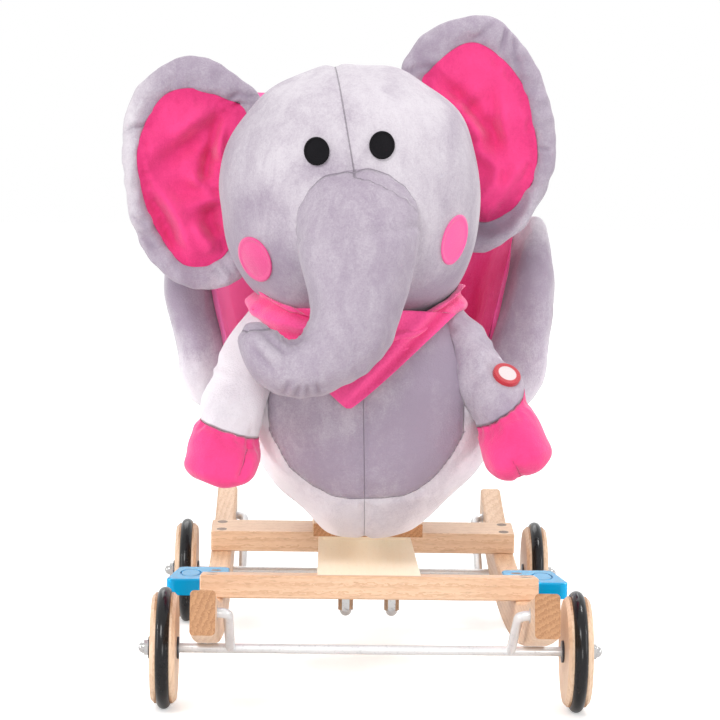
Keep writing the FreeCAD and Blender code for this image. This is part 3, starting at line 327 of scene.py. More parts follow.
class Board:
    """A material's node tree around one Principled shader."""

    def __init__(self, name, roughness=0.5, **constants):
        self.material = bpy.data.materials.new(name)
        self.material.use_nodes = True
        self.tree = self.material.node_tree
        self.shader = next(n for n in self.tree.nodes if n.type == "BSDF_PRINCIPLED")
        self.shader.inputs["Roughness"].default_value = roughness
        for key, value in constants.items():
            self.shader.inputs[key.replace("_", " ")].default_value = value
        self.place = self.node("ShaderNodeTexCoord", out="Object")

    def node(self, kind, settings=None, *values, out=0, **named):
        """A node of that kind: its settings first, then its sockets by order and by name."""
        made = self.tree.nodes.new(kind)
        for key, value in (settings or {}).items():
            setattr(made, key, value)
        for key, value in [*enumerate(values), *((k.replace("_", " "), v) for k, v in named.items())]:
            if value is None:
                continue
            if isinstance(value, Wire):
                self.tree.links.new(value.socket, made.inputs[key])
            else:
                made.inputs[key].default_value = value
        return Wire(self, made.outputs[out])

    def noise(self, scale, detail=2.0, stretch=None, distortion=0.0, roughness=0.5):
        """Noise over the place, stretched where a scale for x, y and z is given."""
        at = self.place
        if stretch:
            at = self.node("ShaderNodeVectorMath", {"operation": "MULTIPLY"}, at, stretch)
        return self.node("ShaderNodeTexNoise", None, Vector=at, Scale=scale, Detail=detail, Roughness=roughness,
                         Distortion=distortion)

    def field(self, name):
        """A point attribute of the piece."""
        return self.node("ShaderNodeAttribute", {"attribute_name": name}, out="Fac")

    def mixed(self, share, first, second):
        """Colours first to second by share."""
        made = self.node("ShaderNodeMix", {"data_type": "RGBA"}, out=2)
        node = made.socket.node
        for index, value in ((0, share), (6, first), (7, second)):
            if isinstance(value, Wire):
                self.tree.links.new(value.socket, node.inputs[index])
            else:
                node.inputs[index].default_value = (*value, 1) if index else value
        return made

    def paint(self, colour, roughness=None, height=None, depth=0.001, strength=1.0, coat=None):
        """Links what varies: base colour, roughness, coat weight, and a height through Bump."""
        for key, value in (("Base Color", colour), ("Roughness", roughness), ("Coat Weight", coat)):
            if isinstance(value, Wire):
                self.tree.links.new(value.socket, self.shader.inputs[key])
            elif value is not None:
                self.shader.inputs[key].default_value = (*value, 1) if key == "Base Color" else value
        if height is not None:
            bump = self.node("ShaderNodeBump", None, Strength=strength, Distance=depth, Height=height)
            self.tree.links.new(bump.socket, self.shader.inputs["Normal"])
        return self.material


def plush(name, pale, deep, pile=1.0, sheen=0.32, palest=None, shine=0.25):
    """Short brushed pile: soft-edged patches where the pile lies the other way, streaks and fine fibres.
    Sewn lines show where a seam field, the signed distance in mm, crosses zero; where the second field runs along a
    contact between two parts, its dark line is painted contact shade. The tone field darkens the pile, or pales it
    towards palest, and on many pieces it carries painted shade and painted light."""
    b = Board(name, roughness=0.86, Sheen_Weight=sheen, Sheen_Roughness=0.45, Specular_IOR_Level=shine)
    patches = b.noise(11, 4.0, (1.0, 1.0, 0.8), 0.9, 0.55).ramp(0.42, 0.64)
    strokes = b.noise(58, 5.0, (1.3, 1.3, 0.6), 0.8, 0.65).ramp(0.30, 0.72)
    grain = b.noise(330 * pile, 4.0, None, 0.3, 0.7)
    fibres = b.noise(900 * pile, 3.0)
    tone = b.field("tone")
    share = (patches * 0.40 + strokes * 0.28) * 0.65 + 0.055 + tone * 0.75
    share = share + (grain - 0.5) * 0.38 + (fibres - 0.5) * 0.45
    colour = b.mixed(share.ramp(-0.05, 1.0), pale, deep)
    if palest:
        # Below zero the tone moves the colour towards palest: painted light on lit sides and hips, and paler pile
        # elsewhere.
        colour = b.mixed((tone * -1.0).ramp(0.05, 0.6) * 0.7, colour, palest)
    height = fibres * 0.5 + b.noise(240, 3.0) * 0.5 + b.noise(36, 2.0) * 1.3
    seam = b.field("seam").size().least(b.field("second_seam").size())
    line = 1 - seam.ramp(0.15, 0.9)
    pull = b.noise(130, 1.0) * (1 - seam.ramp(1.0, 12.0))
    # The dark sewn line: real seams, and painted contact shade where the second field follows a contact between parts.
    colour = b.mixed(line * 0.48, colour, tuple(0.36 * c for c in deep))
    height = height + pull * 1.6 - line * 1.2
    return b.paint(colour, b.noise(90, 2.0) * 0.12 + 0.8, height, depth=0.0011, strength=0.75)


def fleece(name, pale, deep):
    """Felted curly pile: small round clumps, darker where the fold field is high: painted shade in the valleys of the
    folds.
    """
    b = Board(name, roughness=0.92, Sheen_Weight=0.4, Sheen_Roughness=0.5, Specular_IOR_Level=0.2)
    clumps = b.node("ShaderNodeTexVoronoi", {"feature": "SMOOTH_F1"}, Vector=b.place, Scale=700.0)
    broad = b.noise(35, 3.0, None, 0.5)
    colour = b.mixed((broad * 0.5 + clumps * 0.45 + b.field("fold") * 0.9).ramp(0.2, 0.95), pale, deep)
    return b.paint(colour, None, clumps * -0.7 + b.noise(190, 3.0) * 0.7, depth=0.0009, strength=0.6)


PITH = (0.19, 0.0, -0.03)
END_GRAIN_PALE, END_GRAIN_DEEP = (0.52, 0.255, 0.105), (0.34, 0.14, 0.05)


def timber(name, pale, deep, along, gloss=0.42, coat=0.15, fine=1.0, flecked=0.2, ringed=0.34):
    """Planed wood: growth rings round a pith line along the grain (0, 1 or 2 for x, y, z), wandering a little,
    with broad bands, fine pores and short flecks. The rings show as lines on the sides and as arcs on the ends.
    A colour may be a function of the board, for one that changes over the piece."""
    b = Board(name, roughness=gloss, Coat_Roughness=0.3)
    long_way = [1.0, 1.0, 1.0]
    long_way[along] = 0.07
    bands = b.noise(34 * fine, 3.0, tuple(long_way), 0.4)
    pores = b.noise(300 * fine, 4.0, tuple(long_way), 0.25, 0.6)
    moved = b.node("ShaderNodeVectorMath", {"operation": "SUBTRACT"}, b.place, PITH)
    slow = tuple(0.25 if k == along else 1.0 for k in range(3))
    wander = b.node("ShaderNodeVectorMath", {"operation": "MULTIPLY"}, moved, slow)
    wave = {"wave_type": "RINGS", "rings_direction": "XYZ"[along], "wave_profile": "SAW"}
    rings = b.node("ShaderNodeTexWave", wave, out="Fac", Vector=wander, Scale=78.0 * fine, Distortion=5.0, Detail=2.0,
                   Detail_Scale=9.0, Detail_Roughness=0.5)
    long_way[along] = 0.16
    flecks = b.noise(620 * fine, 1.0, tuple(long_way)).ramp(0.63, 0.7)
    if callable(pale):
        pale, deep = pale(b), deep(b)
    colour = b.mixed((bands * 0.6 + pores * 0.35 + rings * rings * ringed).ramp(0.30, 0.95), pale, deep)
    facing = b.node("ShaderNodeSeparateXYZ", None, b.node("ShaderNodeTexCoord", out="Normal"), out="XYZ"[along])
    colour = b.mixed(facing.size().ramp(0.6, 0.95) * 0.92, colour, b.mixed(rings, END_GRAIN_PALE, END_GRAIN_DEEP))
    dark = deep if isinstance(deep, Wire) else tuple(0.5 * c for c in deep)
    colour = b.mixed(flecks * flecked, colour, dark)
    height = pores * 0.6 + flecks * -0.5
    return b.paint(colour, pores * 0.16 + (gloss - 0.06), height, depth=0.00035, strength=0.5, coat=coat)


def coated(name, pale, deep, roughness=0.3, metallic=0.0, marks=0.35, bump=0.25, coat=0.0, mottle=0.3, **more):
    """Moulded, painted or plated: cloudy tone, fine scuffs in the roughness, and a faint orange-peel height."""
    b = Board(name, roughness=roughness, Metallic=metallic, **more)
    cloud = b.noise(36.0, 3.0, None, 0.6)
    scuffs = b.noise(480.0, 3.0, (1.0, 0.35, 1.0), 0.5).ramp(0.5, 0.78)
    colour = b.mixed((cloud * 0.8 + scuffs * mottle).ramp(0.25, 0.85), pale, deep)
    height = b.noise(360.0, 2.0) + scuffs * -0.3
    return b.paint(colour, scuffs * marks * 0.4 + roughness, height, depth=0.0003, strength=bump, coat=coat)


GREY_PALE, GREY_DEEP = (0.65, 0.605, 0.65), (0.33, 0.268, 0.345)
PINK_PALE, PINK_DEEP = (0.88, 0.06, 0.25), (0.66, 0.03, 0.165)
grey_pile = plush("grey_pile", GREY_PALE, GREY_DEEP, palest=(0.90, 0.86, 0.88))
pink_pile = plush("pink_pile", PINK_PALE, PINK_DEEP)
cheek_pile = plush("cheek_pile", (0.92, 0.125, 0.36), (0.76, 0.07, 0.25), pile=1.2)
seat_pink = plush("seat_pink", (0.98, 0.20, 0.48), (0.80, 0.05, 0.23), sheen=0.12, shine=0.12)
pink_fleece = fleece("pink_fleece", (0.93, 0.09, 0.31), (0.76, 0.05, 0.21))
black_thread = plush("black_thread", (0.011, 0.010, 0.012), (0.004, 0.004, 0.005), pile=1.4, sheen=0.02, shine=0.08)


# ---------------------------------------------------------------- head, face and trunk

HEAD_MIDDLE, HEAD_Y, HEAD_DEEP, HEAD_POWER = np.array([-20.0, 371.0]), -74.0, 94.0, 2.25
HEAD_LINE = [(-101, 426), (-112, 404), (-116.5, 378), (-113.5, 355), (-107.5, 329), (-96.5, 308), (-83, 292.5),
             (-66, 280.5), (-42, 273), (-16, 270.5), (12, 273), (34, 279.5), (52.5, 290), (66, 305), (75, 328),
             (79.5, 352), (80, 378), (76, 405), (65, 430), (46, 450.5), (22, 463.5), (-8, 468.5), (-36, 467),
             (-62, 459.5), (-84, 445)]


def head_front(x, z):
    """The head's front at (x, z): the middle plane less its depth times (1 - share**power)**(1/power).
    The share is the distance from the middle over the outline's."""
    dx, dz = x - HEAD_MIDDLE[0], z - HEAD_MIDDLE[1]
    share = np.hypot(dx, dz) / reach(HEAD_LINE, HEAD_MIDDLE, np.arctan2(dz, dx))
    return HEAD_Y - HEAD_DEEP * (1 - np.clip(share, 0, 0.992) ** HEAD_POWER) ** (1 / HEAD_POWER)


def head_dents(points):
    """How far the stuffing lifts the head's skin, in mm."""
    return 1.3 * swell(points, 62, 3)


def steepness(x, z):
    """Length of the head front's slanted normal over its y share, by differences half a millimetre apart."""
    e = 0.5
    fx = (head_front(x + e, z) - head_front(x - e, z)) / (2 * e)
    fz = (head_front(x, z + e) - head_front(x, z - e)) / (2 * e)
    return np.minimum(np.sqrt(1 + fx ** 2 + fz ** 2), 4.0)


# Where the pile is stroked the other way: x, z, half width, half height, how much darker
SMUDGES = [(-38, 391, 22, 9, 0.40), (-84, 366, 20, 12, 0.34), (-66, 342, 10, 18, 0.30), (-101, 345, 9, 16, 0.25),
           (55, 421, 7, 17, 0.34), (50, 372, 12, 18, 0.22), (-74, 398, 18, 16, -0.25), (20, 436, 30, 14, -0.15)]


def head():
    """The outline blown up: ring t shrinks to cos(t)**(2/power) of it while y moves by sin(t)**(2/power) of the depth.
    The centre seam is drawn in, and the stuffing leaves shallow dents."""
    a = turns(220)
    t = np.linspace(-np.pi / 2, np.pi / 2, 152)[1:-1, None]
    radius = np.cos(t) ** (2 / HEAD_POWER) * reach(HEAD_LINE, HEAD_MIDDLE, a)
    rings = radial(HEAD_MIDDLE, radius, a, HEAD_Y + HEAD_DEEP * signed(np.sin(t), 2 / HEAD_POWER))
    x, z = rings[..., 0], rings[..., 2]
    across = (x - (-17 - 0.18 * (z - 392))) * 0.98
    off = np.abs(across)
    low_brow = np.exp(-((z - 400) / 22) ** 2 - ((x + 18) / 60) ** 2) * (rings[..., 1] < HEAD_Y)
    amount = -2.2 * np.exp(-(off / 4.0) ** 2) + head_dents(rings) + 0.35 * swell(rings, 14, 4) * np.exp(-off / 12)
    rings = pushed(rings, amount - 1.2 * low_brow)
    # Painted shade: the head darker towards its lower part and on both sides; the smudges are pile stroked the other
    # way.
    darker = 0.14 + 0.50 * step(-z, -370, -295) + 0.20 * step(x, 10, 75) + 0.40 * step(-x, 50, 108)
    for px, pz, wide, tall, amount in SMUDGES:
        darker = darker + amount * np.exp(-((x - px) / wide) ** 2 - ((z - pz) / tall) ** 2) * (rings[..., 1] < HEAD_Y)
    return skin("head_skin", rings, grey_pile, "grey_plush", ["head"], seam=across * 1.3, tone=darker)


def patch(name, middle, half, tilt, toned, looks, slot, proud, ridges):
    """A stitched-on oval: a low dome over the head's front, closed behind inside the head.
    Its rim is a ridge of radial satin stitches."""
    front, behind, a = 26, 10, turns(180)
    out = np.linspace(0.04, 1, front)
    share = np.concatenate([out, np.linspace(0.97, 0.04, behind)])[:, None]
    lift = np.concatenate([proud * (1 - 0.35 * out ** 6), np.full(behind, -1.6)])[:, None]
    lift[front - 1] = 0.0
    c, s = np.cos(tilt), np.sin(tilt)
    u, v = half[0] * share * np.cos(a), half[1] * share * np.sin(a)
    x, z = middle[0] + c * u - s * v, middle[1] + s * u + c * v
    rim = np.exp(-((share - 0.9) / 0.07) ** 2) * (lift > 0)
    height = lift + rim * (0.7 + 0.28 * np.sin(ridges * a)) + 0.3 * (lift > 0)
    grid = np.stack([x, head_front(x, z), z], -1)
    grid[..., 1] -= (height + head_dents(grid)) * steepness(x, z)
    seam = 30 * (1 - share) + 2.2 + 0 * a
    return skin(name, grid, looks, slot, seam=seam, tone=np.full_like(seam, toned))


def between(rows, levels, around, power):
    """A limb: each row is (x, z) of one edge, (x, z) of the other, the y between them, the half depth and the forward
    direction's tilt. A ring runs through both edges and out to the depth; a spline joins the rows."""
    x1, z1, x2, z2, y, deep, tilt = spline(rows, levels, even=False).T[..., None]
    c, s = oval(around, power)
    return np.stack([(x1 + x2) / 2 + (x2 - x1) / 2 * c, y - deep * np.cos(tilt) * s,
                     (z1 + z2) / 2 + (z2 - z1) / 2 * c + deep * np.sin(tilt) * s], -1)


TRUNK = [(-44, 372, 16, 374, -108, 22, 1.25), (-54, 370, 26, 371, -130, 34, 1.05),
         (-59, 355, 31, 358, -150, 38, 0.62), (-58, 334, 31, 338, -163, 38, 0.28),
         (-52, 314, 26, 317, -169, 37, 0.10), (-48.5, 297, 21, 297, -172, 36, 0), (-48.5, 285, 16, 277, -174, 34, 0),
         (-52, 276, 6, 258, -175, 33, 0), (-56, 271, -10, 243, -176, 31, 0), (-62, 269, -30, 231.5, -176, 30, 0),
         (-67, 272.5, -50, 226.5, -176, 28, 0), (-73, 277.5, -68, 228, -175.5, 27, 0),
         (-80, 280.5, -82, 236, -175, 25, 0), (-87, 281, -91, 247, -174.5, 21, 0),
         (-93, 279.5, -96, 258, -174, 14, 0), (-97, 275.5, -98.5, 266.5, -174, 6, 0)]


TRUNK_FOLDS = [(-2.6, 1.8, [(-97, 268), (-91, 281), (-81, 285), (-69, 278)]),
               (-2.2, 2.2, [(-89, 266), (-81, 257), (-72, 247)]), (-1.8, 2.4, [(-81, 275), (-70, 266), (-61, 261)]),
               (-2.4, 1.8, [(-68, 277), (-60, 273), (-51, 276)]), (-2.0, 1.8, [(-66, 270), (-57, 268), (-49, 272)]),
               (-2.4, 1.6, [(-58, 226), (-53, 238)]), (-2.4, 1.6, [(-49, 226), (-48, 239)]),
               (-2.2, 1.6, [(-40, 228), (-42, 240)]), (-2.0, 1.8, [(-66, 229), (-61, 240)]),
               (1.8, 4.0, [(-86, 272), (-76, 262), (-66, 255)])]


def trunk():
    """The limb with its bend to the side, gathers on the inside of the bend and under it, and a seam round its tip."""
    rings = between(TRUNK, 190, 120, 2.15)
    x = rings[..., 0]
    t, a = np.linspace(0, 15, 190)[:, None], turns(120)
    inside, under = np.exp(-((a + 3.14) % 6.283 - 3.143) ** 2), np.exp(-((a - 3.14) / 0.9) ** 2)
    bend = np.exp(-((t - 8.2) / 2.6) ** 2)
    gathers = 0.9 * under * bend * np.abs(np.sin(4.4 * t + 0.8 * np.sin(2 * t))) ** 0.7
    gathers = gathers + 0.35 * inside * np.exp(-((t - 10.3) / 1.2) ** 2) * np.sin(6 * t)
    ring_seam = 275.2 + 0.121 * (x + 97.7) - rings[..., 2] + 60 * step(x, -71, -66)
    mid_line = (a - 1.62) * 34 + 60 * step(t, 1.7, 2.5)
    seam = np.where(t > 10, np.minimum(ring_seam, NO_SEAM), np.where(t > 8, NO_SEAM, mid_line))
    drawn_in = 1.8 * np.exp(-(ring_seam / 3.0) ** 2) + 1.2 * np.exp(-(mid_line / 3.0) ** 2)
    root = 0.8 * np.exp(-((t - 2.2) / 0.8) ** 2) * np.abs(np.sin(9 * a))
    dents = creased(rings, TRUNK_FOLDS) * step(-rings[..., 1], 176, 188)
    stuffing = 0.9 * swell(rings, 40, 11) + 0.5 * swell(rings, 17, 12) * (bend + 0.2)
    rings = pushed(rings, stuffing + dents - gathers - drawn_in - root)
    sewn_on = (rings[..., 1] - head_front(rings[..., 0], rings[..., 2]) + head_dents(rings)) * 0.95
    # Painted shade: darker in the valleys of the folds and along one side of the trunk.
    tone = 0.68 - 0.10 * dents + 0.12 * step(np.cos(a), 0.2, 0.9)
    return skin("trunk_skin", rings, grey_pile, "grey_plush", ["trunk"], seam=seam, second_seam=sewn_on, tone=tone)


# ---------------------------------------------------------------- ears

LEFT_EAR = [(-87, 444), (-104, 459), (-122, 471), (-143, 474.5), (-162, 467), (-178, 454), (-188, 435), (-192, 413),
            (-191, 385), (-186, 353), (-177, 328), (-162, 309), (-145, 299), (-126, 296), (-109, 300), (-97, 309),
            (-84, 335), (-76, 375), (-77, 415)]
LEFT_PINK = [(-100, 434), (-113, 440), (-126, 445), (-139, 448), (-153, 446), (-164, 438), (-174, 420), (-179, 400),
             (-177, 379), (-172, 359), (-163, 340), (-152, 324), (-142, 316), (-131, 314), (-121, 318), (-111, 328),
             (-101, 350), (-95, 380), (-94, 412)]
RIGHT_EAR = [(21, 463), (28, 482), (40, 496), (56, 504), (77, 509), (94, 506.5), (109, 492), (125, 470), (134, 448),
             (140, 420), (140, 398), (134, 375), (124, 357), (113, 343), (97, 332), (85, 327), (70, 330), (56, 350),
             (46, 385), (36, 425)]
RIGHT_PINK = [(38, 455), (44, 465), (55, 476), (67, 484), (77, 486), (89, 481), (104, 468), (115, 452), (121, 430),
              (125, 406), (123, 387), (115, 371), (104, 359), (92, 353), (79, 354), (66, 366), (56, 392), (46, 425)]


LEFT_FOLDS = [(-6.0, 8, [(-106, 437), (-129, 420), (-146, 405), (-171, 383)]),
              (4.5, 7, [(-120, 434), (-140, 421), (-156, 407)]),
              (5.5, 6.5, [(-168, 378), (-155, 362), (-147, 348), (-139, 326)]),
              (-5.0, 5.5, [(-175, 372), (-162, 354), (-151, 333), (-146, 324)]),
              (-6.5, 5, [(-119, 424), (-127, 395), (-129, 380), (-118, 367)]),
              (4.5, 5, [(-142, 385), (-129, 377), (-119, 364)]), (4.5, 5, [(-139, 350), (-129, 337), (-119, 326)]),
              (-7.0, 7, [(-121, 363), (-125, 347), (-115, 331)]), (4.0, 4, [(-114, 430), (-117, 411), (-118, 393)]),
              (-2.8, 1.8, [(-192, 414), (-183, 420), (-173, 420)]), (-1.8, 2.2, [(-186, 431), (-175, 427)]),
              (-2.4, 2.4, [(-179, 341), (-170, 330), (-163, 325)]), (-2.0, 2.2, [(-185, 354), (-172, 343)]),
              (-3.2, 2.2, [(-91, 444), (-104, 445), (-114, 441)]),
              (-2.8, 2.0, [(-94, 438), (-103, 440), (-108, 435)]),
              (-2.6, 2.2, [(-117, 318), (-110, 312), (-103, 304)]), (-2.0, 2.0, [(-124, 312), (-112, 305)]),
              (2.0, 3.0, [(-187, 425), (-176, 436)])]
RIGHT_FOLDS = [(-6.5, 7, [(43, 461), (60, 450), (74, 438), (90, 420), (96, 402)]),
               (5.0, 5, [(47, 453), (60, 444), (71, 433), (80, 420), (83, 404)]),
               (3.0, 6, [(96, 462), (98, 441), (100, 422), (107, 403)]),
               (4.0, 5, [(87, 402), (95, 391), (93, 379), (82, 370)]),
               (3.5, 4.5, [(113, 398), (106, 383), (97, 370)]), (-3.5, 5, [(91, 450), (92, 429), (99, 406)]),
               (-3.0, 2.0, [(101, 503), (99, 492), (97, 479)]), (-3.0, 2.2, [(106, 496), (107, 481), (112, 463)]),
               (-2.0, 2.4, [(94, 506), (81, 494), (71, 487)]), (-2.5, 2.2, [(22, 462), (33, 468), (45, 469)]),
               (-8.5, 8, [(60, 356), (77, 350), (90, 347), (103, 354), (115, 367)]),
               (4.0, 5, [(128, 380), (120, 356), (106, 340), (86, 332)]), (-2.0, 1.8, [(136, 407), (126, 408)]),
               (2.0, 3.5, [(104, 505), (112, 490)])]


# outline, pink panel, middle, root, seed of the random folds, listed folds
EARS = {"left": (LEFT_EAR, LEFT_PINK, np.array([-135.0, 385.0]), (-92, 372), 5, LEFT_FOLDS),
        "right": (RIGHT_EAR, RIGHT_PINK, np.array([86.0, 420.0]), (44, 415), 8, RIGHT_FOLDS)}


def root_folds(rings, root, seed):
    """Sine folds that fan out from the root and fade away from it, and a broad swell of the whole ear, in mm."""
    toward = np.arctan2(rings[..., 2] - root[1], rings[..., 0] - root[0])
    far = np.hypot(rings[..., 2] - root[1], rings[..., 0] - root[0])
    wide = np.sin(11 * toward + seed) * np.exp(-((far - 60) / 38) ** 2)
    fine = 0.7 * np.sin(17 * toward + 2 * seed) * np.exp(-((far - 35) / 25) ** 2)
    return 1.8 * (wide + fine) + 2.6 * swell(rings * [1, 0, 1], 85, seed)


def ear(side):
    """A padded ear: behind, a shallow dome; at the edge, a rolled rim that comes forward; inside it, a cupped panel.
    Each ring of the profile has a depth y and a radius, a share of the outer outline, of the inner one or between."""
    outer, pink, middle, root, seed, lines = EARS[side]
    a = turns(260)
    big, small = reach(outer, middle, a), reach(pink, middle, a)
    rows = [(share * big, -13.5 - 4.5 * share ** 3) for share in np.linspace(0.03, 0.93, 26)]
    for k in np.linspace(0, 1, 24):          # round the edge to the rim's front crest and down to the lining
        turn, crest = np.pi * (0.06 + k), np.pi / 2
        across = 0.5 - 0.5 * np.cos(np.pi * k)
        radius = big * (0.93 + 0.07 * np.sin(min(turn, crest)))
        if turn > crest:
            radius = big + (small - big) * step(turn, crest, np.pi * 1.06)
        rows.append((radius, -18 - 14 * across - 15 * np.sin(np.pi * k) * (0.35 + 0.65 * across)))
    rows += [(share * small, -30.5) for share in np.linspace(0.97, 0.03, 20)]
    radii, depths = zip(*rows)
    rings = radial(middle, np.array(radii), a, np.array(depths)[:, None])
    rings[..., 1] += root_folds(rings, root, seed)
    dents = creased(rings, lines)
    rings[..., 1] -= 1.3 * dents * step(-rings[..., 1], 16, 27)
    level = np.arange(len(rings))[:, None]
    pucker = swell(rings, 15, seed + 1) * np.exp(-((level - 42) / 9.0) ** 2)
    rings = pushed(rings, 0.9 * pucker + 0.5 * swell(rings, 30, seed + 2))
    seam = np.minimum(np.abs(level - 26) * 1.6, np.where(level > 40, np.abs(level - 49) * 1.2, NO_SEAM)) + 0 * a
    # Tone: the right ear painted shaded darker than the left, the left ear's outer rim painted lit paler, and painted
    # shade forward on the rim by the lining and in the valleys of the folds.
    shade = 0.60 if side == "right" else 0.36 - 0.65 * step(-rings[..., 0], 168, 188)
    tone = shade + 0.12 * step(-rings[..., 1], 20, 30) - 0.085 * dents
    return skin(side + "_ear_skin", rings, grey_pile, "grey_plush", [side + "_ear"], seam=seam, tone=tone)


def ear_lining(side):
    """The pink panel: cupped, puckered along its sewn edge, creased towards the root and tucked under the rim."""
    _, pink, middle, root, seed, lines = EARS[side]
    a, front, behind = turns(240), 44, 12
    share = np.concatenate([np.linspace(0.03, 1.03, front), np.linspace(1.02, 0.03, behind)])[:, None]
    rings = radial(middle, share * reach(pink, middle, a), a, 0.0)
    edge, dents = step(share, 0.78, 1.0), creased(rings, lines)
    pucker = 4 * edge * (1 - edge) * (0.30 * np.sin(46 * a + 4 * np.sin(5 * a + seed)) + swell(rings, 13, seed + 5))
    y = -35.5 - 3.0 * share ** 2 + 2.5 * edge + root_folds(rings, root, seed) - 1.3 * pucker - 1.3 * dents
    y = y + 0.9 * swell(rings * [1, 0, 1], 33, seed + 6)
    rings[..., 1] = y + 3.0 * (np.arange(front + behind)[:, None] >= front)
    # Tone: painted shade towards the edge tucked under the rim and in the valleys of the folds.
    seam, tone = 3 + 60 * (1 - np.minimum(share, 1)) + 0 * a, 0.25 * edge - 0.07 * dents + 0.1
    return skin(side + "_ear_lining", rings, pink_pile, "pink_plush", seam=seam, tone=tone)


# ---------------------------------------------------------------- body, arms and paws

TORSO = [(112.4, 10, 9), (113, 22, 20), (116, 32, 30), (122, 40, 38), (130, 48, 46), (139, 57, 53), (151, 70, 61),
         (165, 82, 68), (182, 91, 73), (202, 96, 75.5), (222, 97, 75.5), (242, 93, 72), (262, 83, 66), (280, 66, 54),
         (291, 42, 34), (295, 14, 12)]
BODY_Y, BODY_POWER = -70.0, 2.15


def torso():
    """Rings up the body, oval in plan. The belly panel is set in by its seam: below a curve of the third power of x,
    and darker, since its pile lies the other way; towards the right it is darker still, painted shade."""
    rings = tower(TORSO, 170, 240, BODY_POWER, 0.0, BODY_Y)
    x, y, z = rings[..., 0], rings[..., 1], rings[..., 2]
    in_front, aside = y < BODY_Y - 12, np.abs(x + 4) / 74
    rise = (z - 147 - 52 * aside ** 3) / np.sqrt(1 + (3 * 52 / 74 * aside ** 2) ** 2)
    side = (73 - np.abs(x + 4)) * 0.8
    panel = np.where(in_front, np.minimum(rise, np.where(z > 195, side, 99)), -30)
    across = np.where(in_front, x + 5 + 0.03 * (z - 147), 30)
    seam = np.minimum(np.abs(panel), np.abs(across))
    stuffing = 1.2 * swell(rings, 55, 21) + 0.45 * swell(rings, 15, 22) * np.exp(-seam / 9)
    rings = pushed(rings, stuffing - 1.8 * np.exp(-(seam / 3.2) ** 2))
    # Tone: the belly's right side painted shaded darker and the left hip painted lit paler; the lowest band is paler.
    tone = np.where(panel > 0, 0.64 + 0.42 * step(x, 5, 60), -0.06 - 0.4 * step(-x, 50, 80))
    tone = tone - 0.10 * step(-z, -150, -120)
    return skin("body_skin", rings, grey_pile, "grey_plush", ["torso"], seam=panel * 1.6, second_seam=across * 2.8,
                tone=tone)


LEFT_ARM = [(-84, 294, -38, 286, -60, 24, 0), (-93, 283, -50, 264, -74, 31, 0), (-108, 262, -61, 247, -90, 32, 0),
            (-117, 243, -71, 234, -104, 31, 0), (-125, 225, -77, 219, -118, 30, 0),
            (-129.5, 206, -82, 191, -131, 28, 0), (-132.5, 194, -81.5, 182, -138, 28.5, 0),
            (-135.5, 181.5, -82.5, 173.5, -144, 28, 0), (-136.5, 173, -85.5, 166, -148, 25, 0),
            (-132, 166, -92, 161.5, -150, 19, 0), (-124, 161.5, -103, 159, -151, 11, 0),
            (-116, 160, -110, 159.5, -151, 5, 0)]
RIGHT_ARM = [(48, 301, 16, 284, -58, 22, 0), (60, 293, 32, 272, -70, 30, 0), (74, 281, 44, 260, -83, 31, 0),
             (88, 266, 54, 249, -97, 31, 0), (99, 245, 62, 227, -110, 30, 0), (112, 223, 76.5, 200.5, -129, 28, 0),
             (120.5, 210.5, 78.5, 190, -138, 28.5, 0), (127, 199.5, 81, 180, -144, 28, 0),
             (129.5, 189, 84.5, 172.5, -148, 25, 0), (128, 180, 90.5, 168, -150, 19, 0),
             (122, 173.5, 99.5, 166, -151, 11, 0), (115, 169.5, 107.5, 167, -151, 5, 0)]


# rows, seed, tone (the left arm painted lit paler, the right painted shaded darker), finger stitch on the paw from (x,
# z) to (x, z)
ARMS = {"left": (LEFT_ARM, 71, -0.26, (-90.0, 188.0, -95.0, 169.0)),
        "right": (RIGHT_ARM, 75, 0.62, (101.0, 182.0, 108.0, 168.5))}
CUFF = 4.9                       # the cuff seam, in rows from the shoulder


def body_halves(z):
    """The torso's half width and half depth at height z, from its rows."""
    levels, wide, deep = np.array(TORSO, float).T
    return np.interp(z, levels, wide), np.interp(z, levels, deep)


def off_body(points):
    """About the signed distance from the torso's oval at each point's height, in mm.
    It is the oval's own share, less one, times 0.85 of the smaller half width."""
    w, d = body_halves(points[..., 2])
    share = (np.abs(points[..., 0]) / w) ** BODY_POWER + (np.abs(points[..., 1] - BODY_Y) / d) ** BODY_POWER
    return (share ** (1 / BODY_POWER) - 1) * 0.85 * np.minimum(w, d)


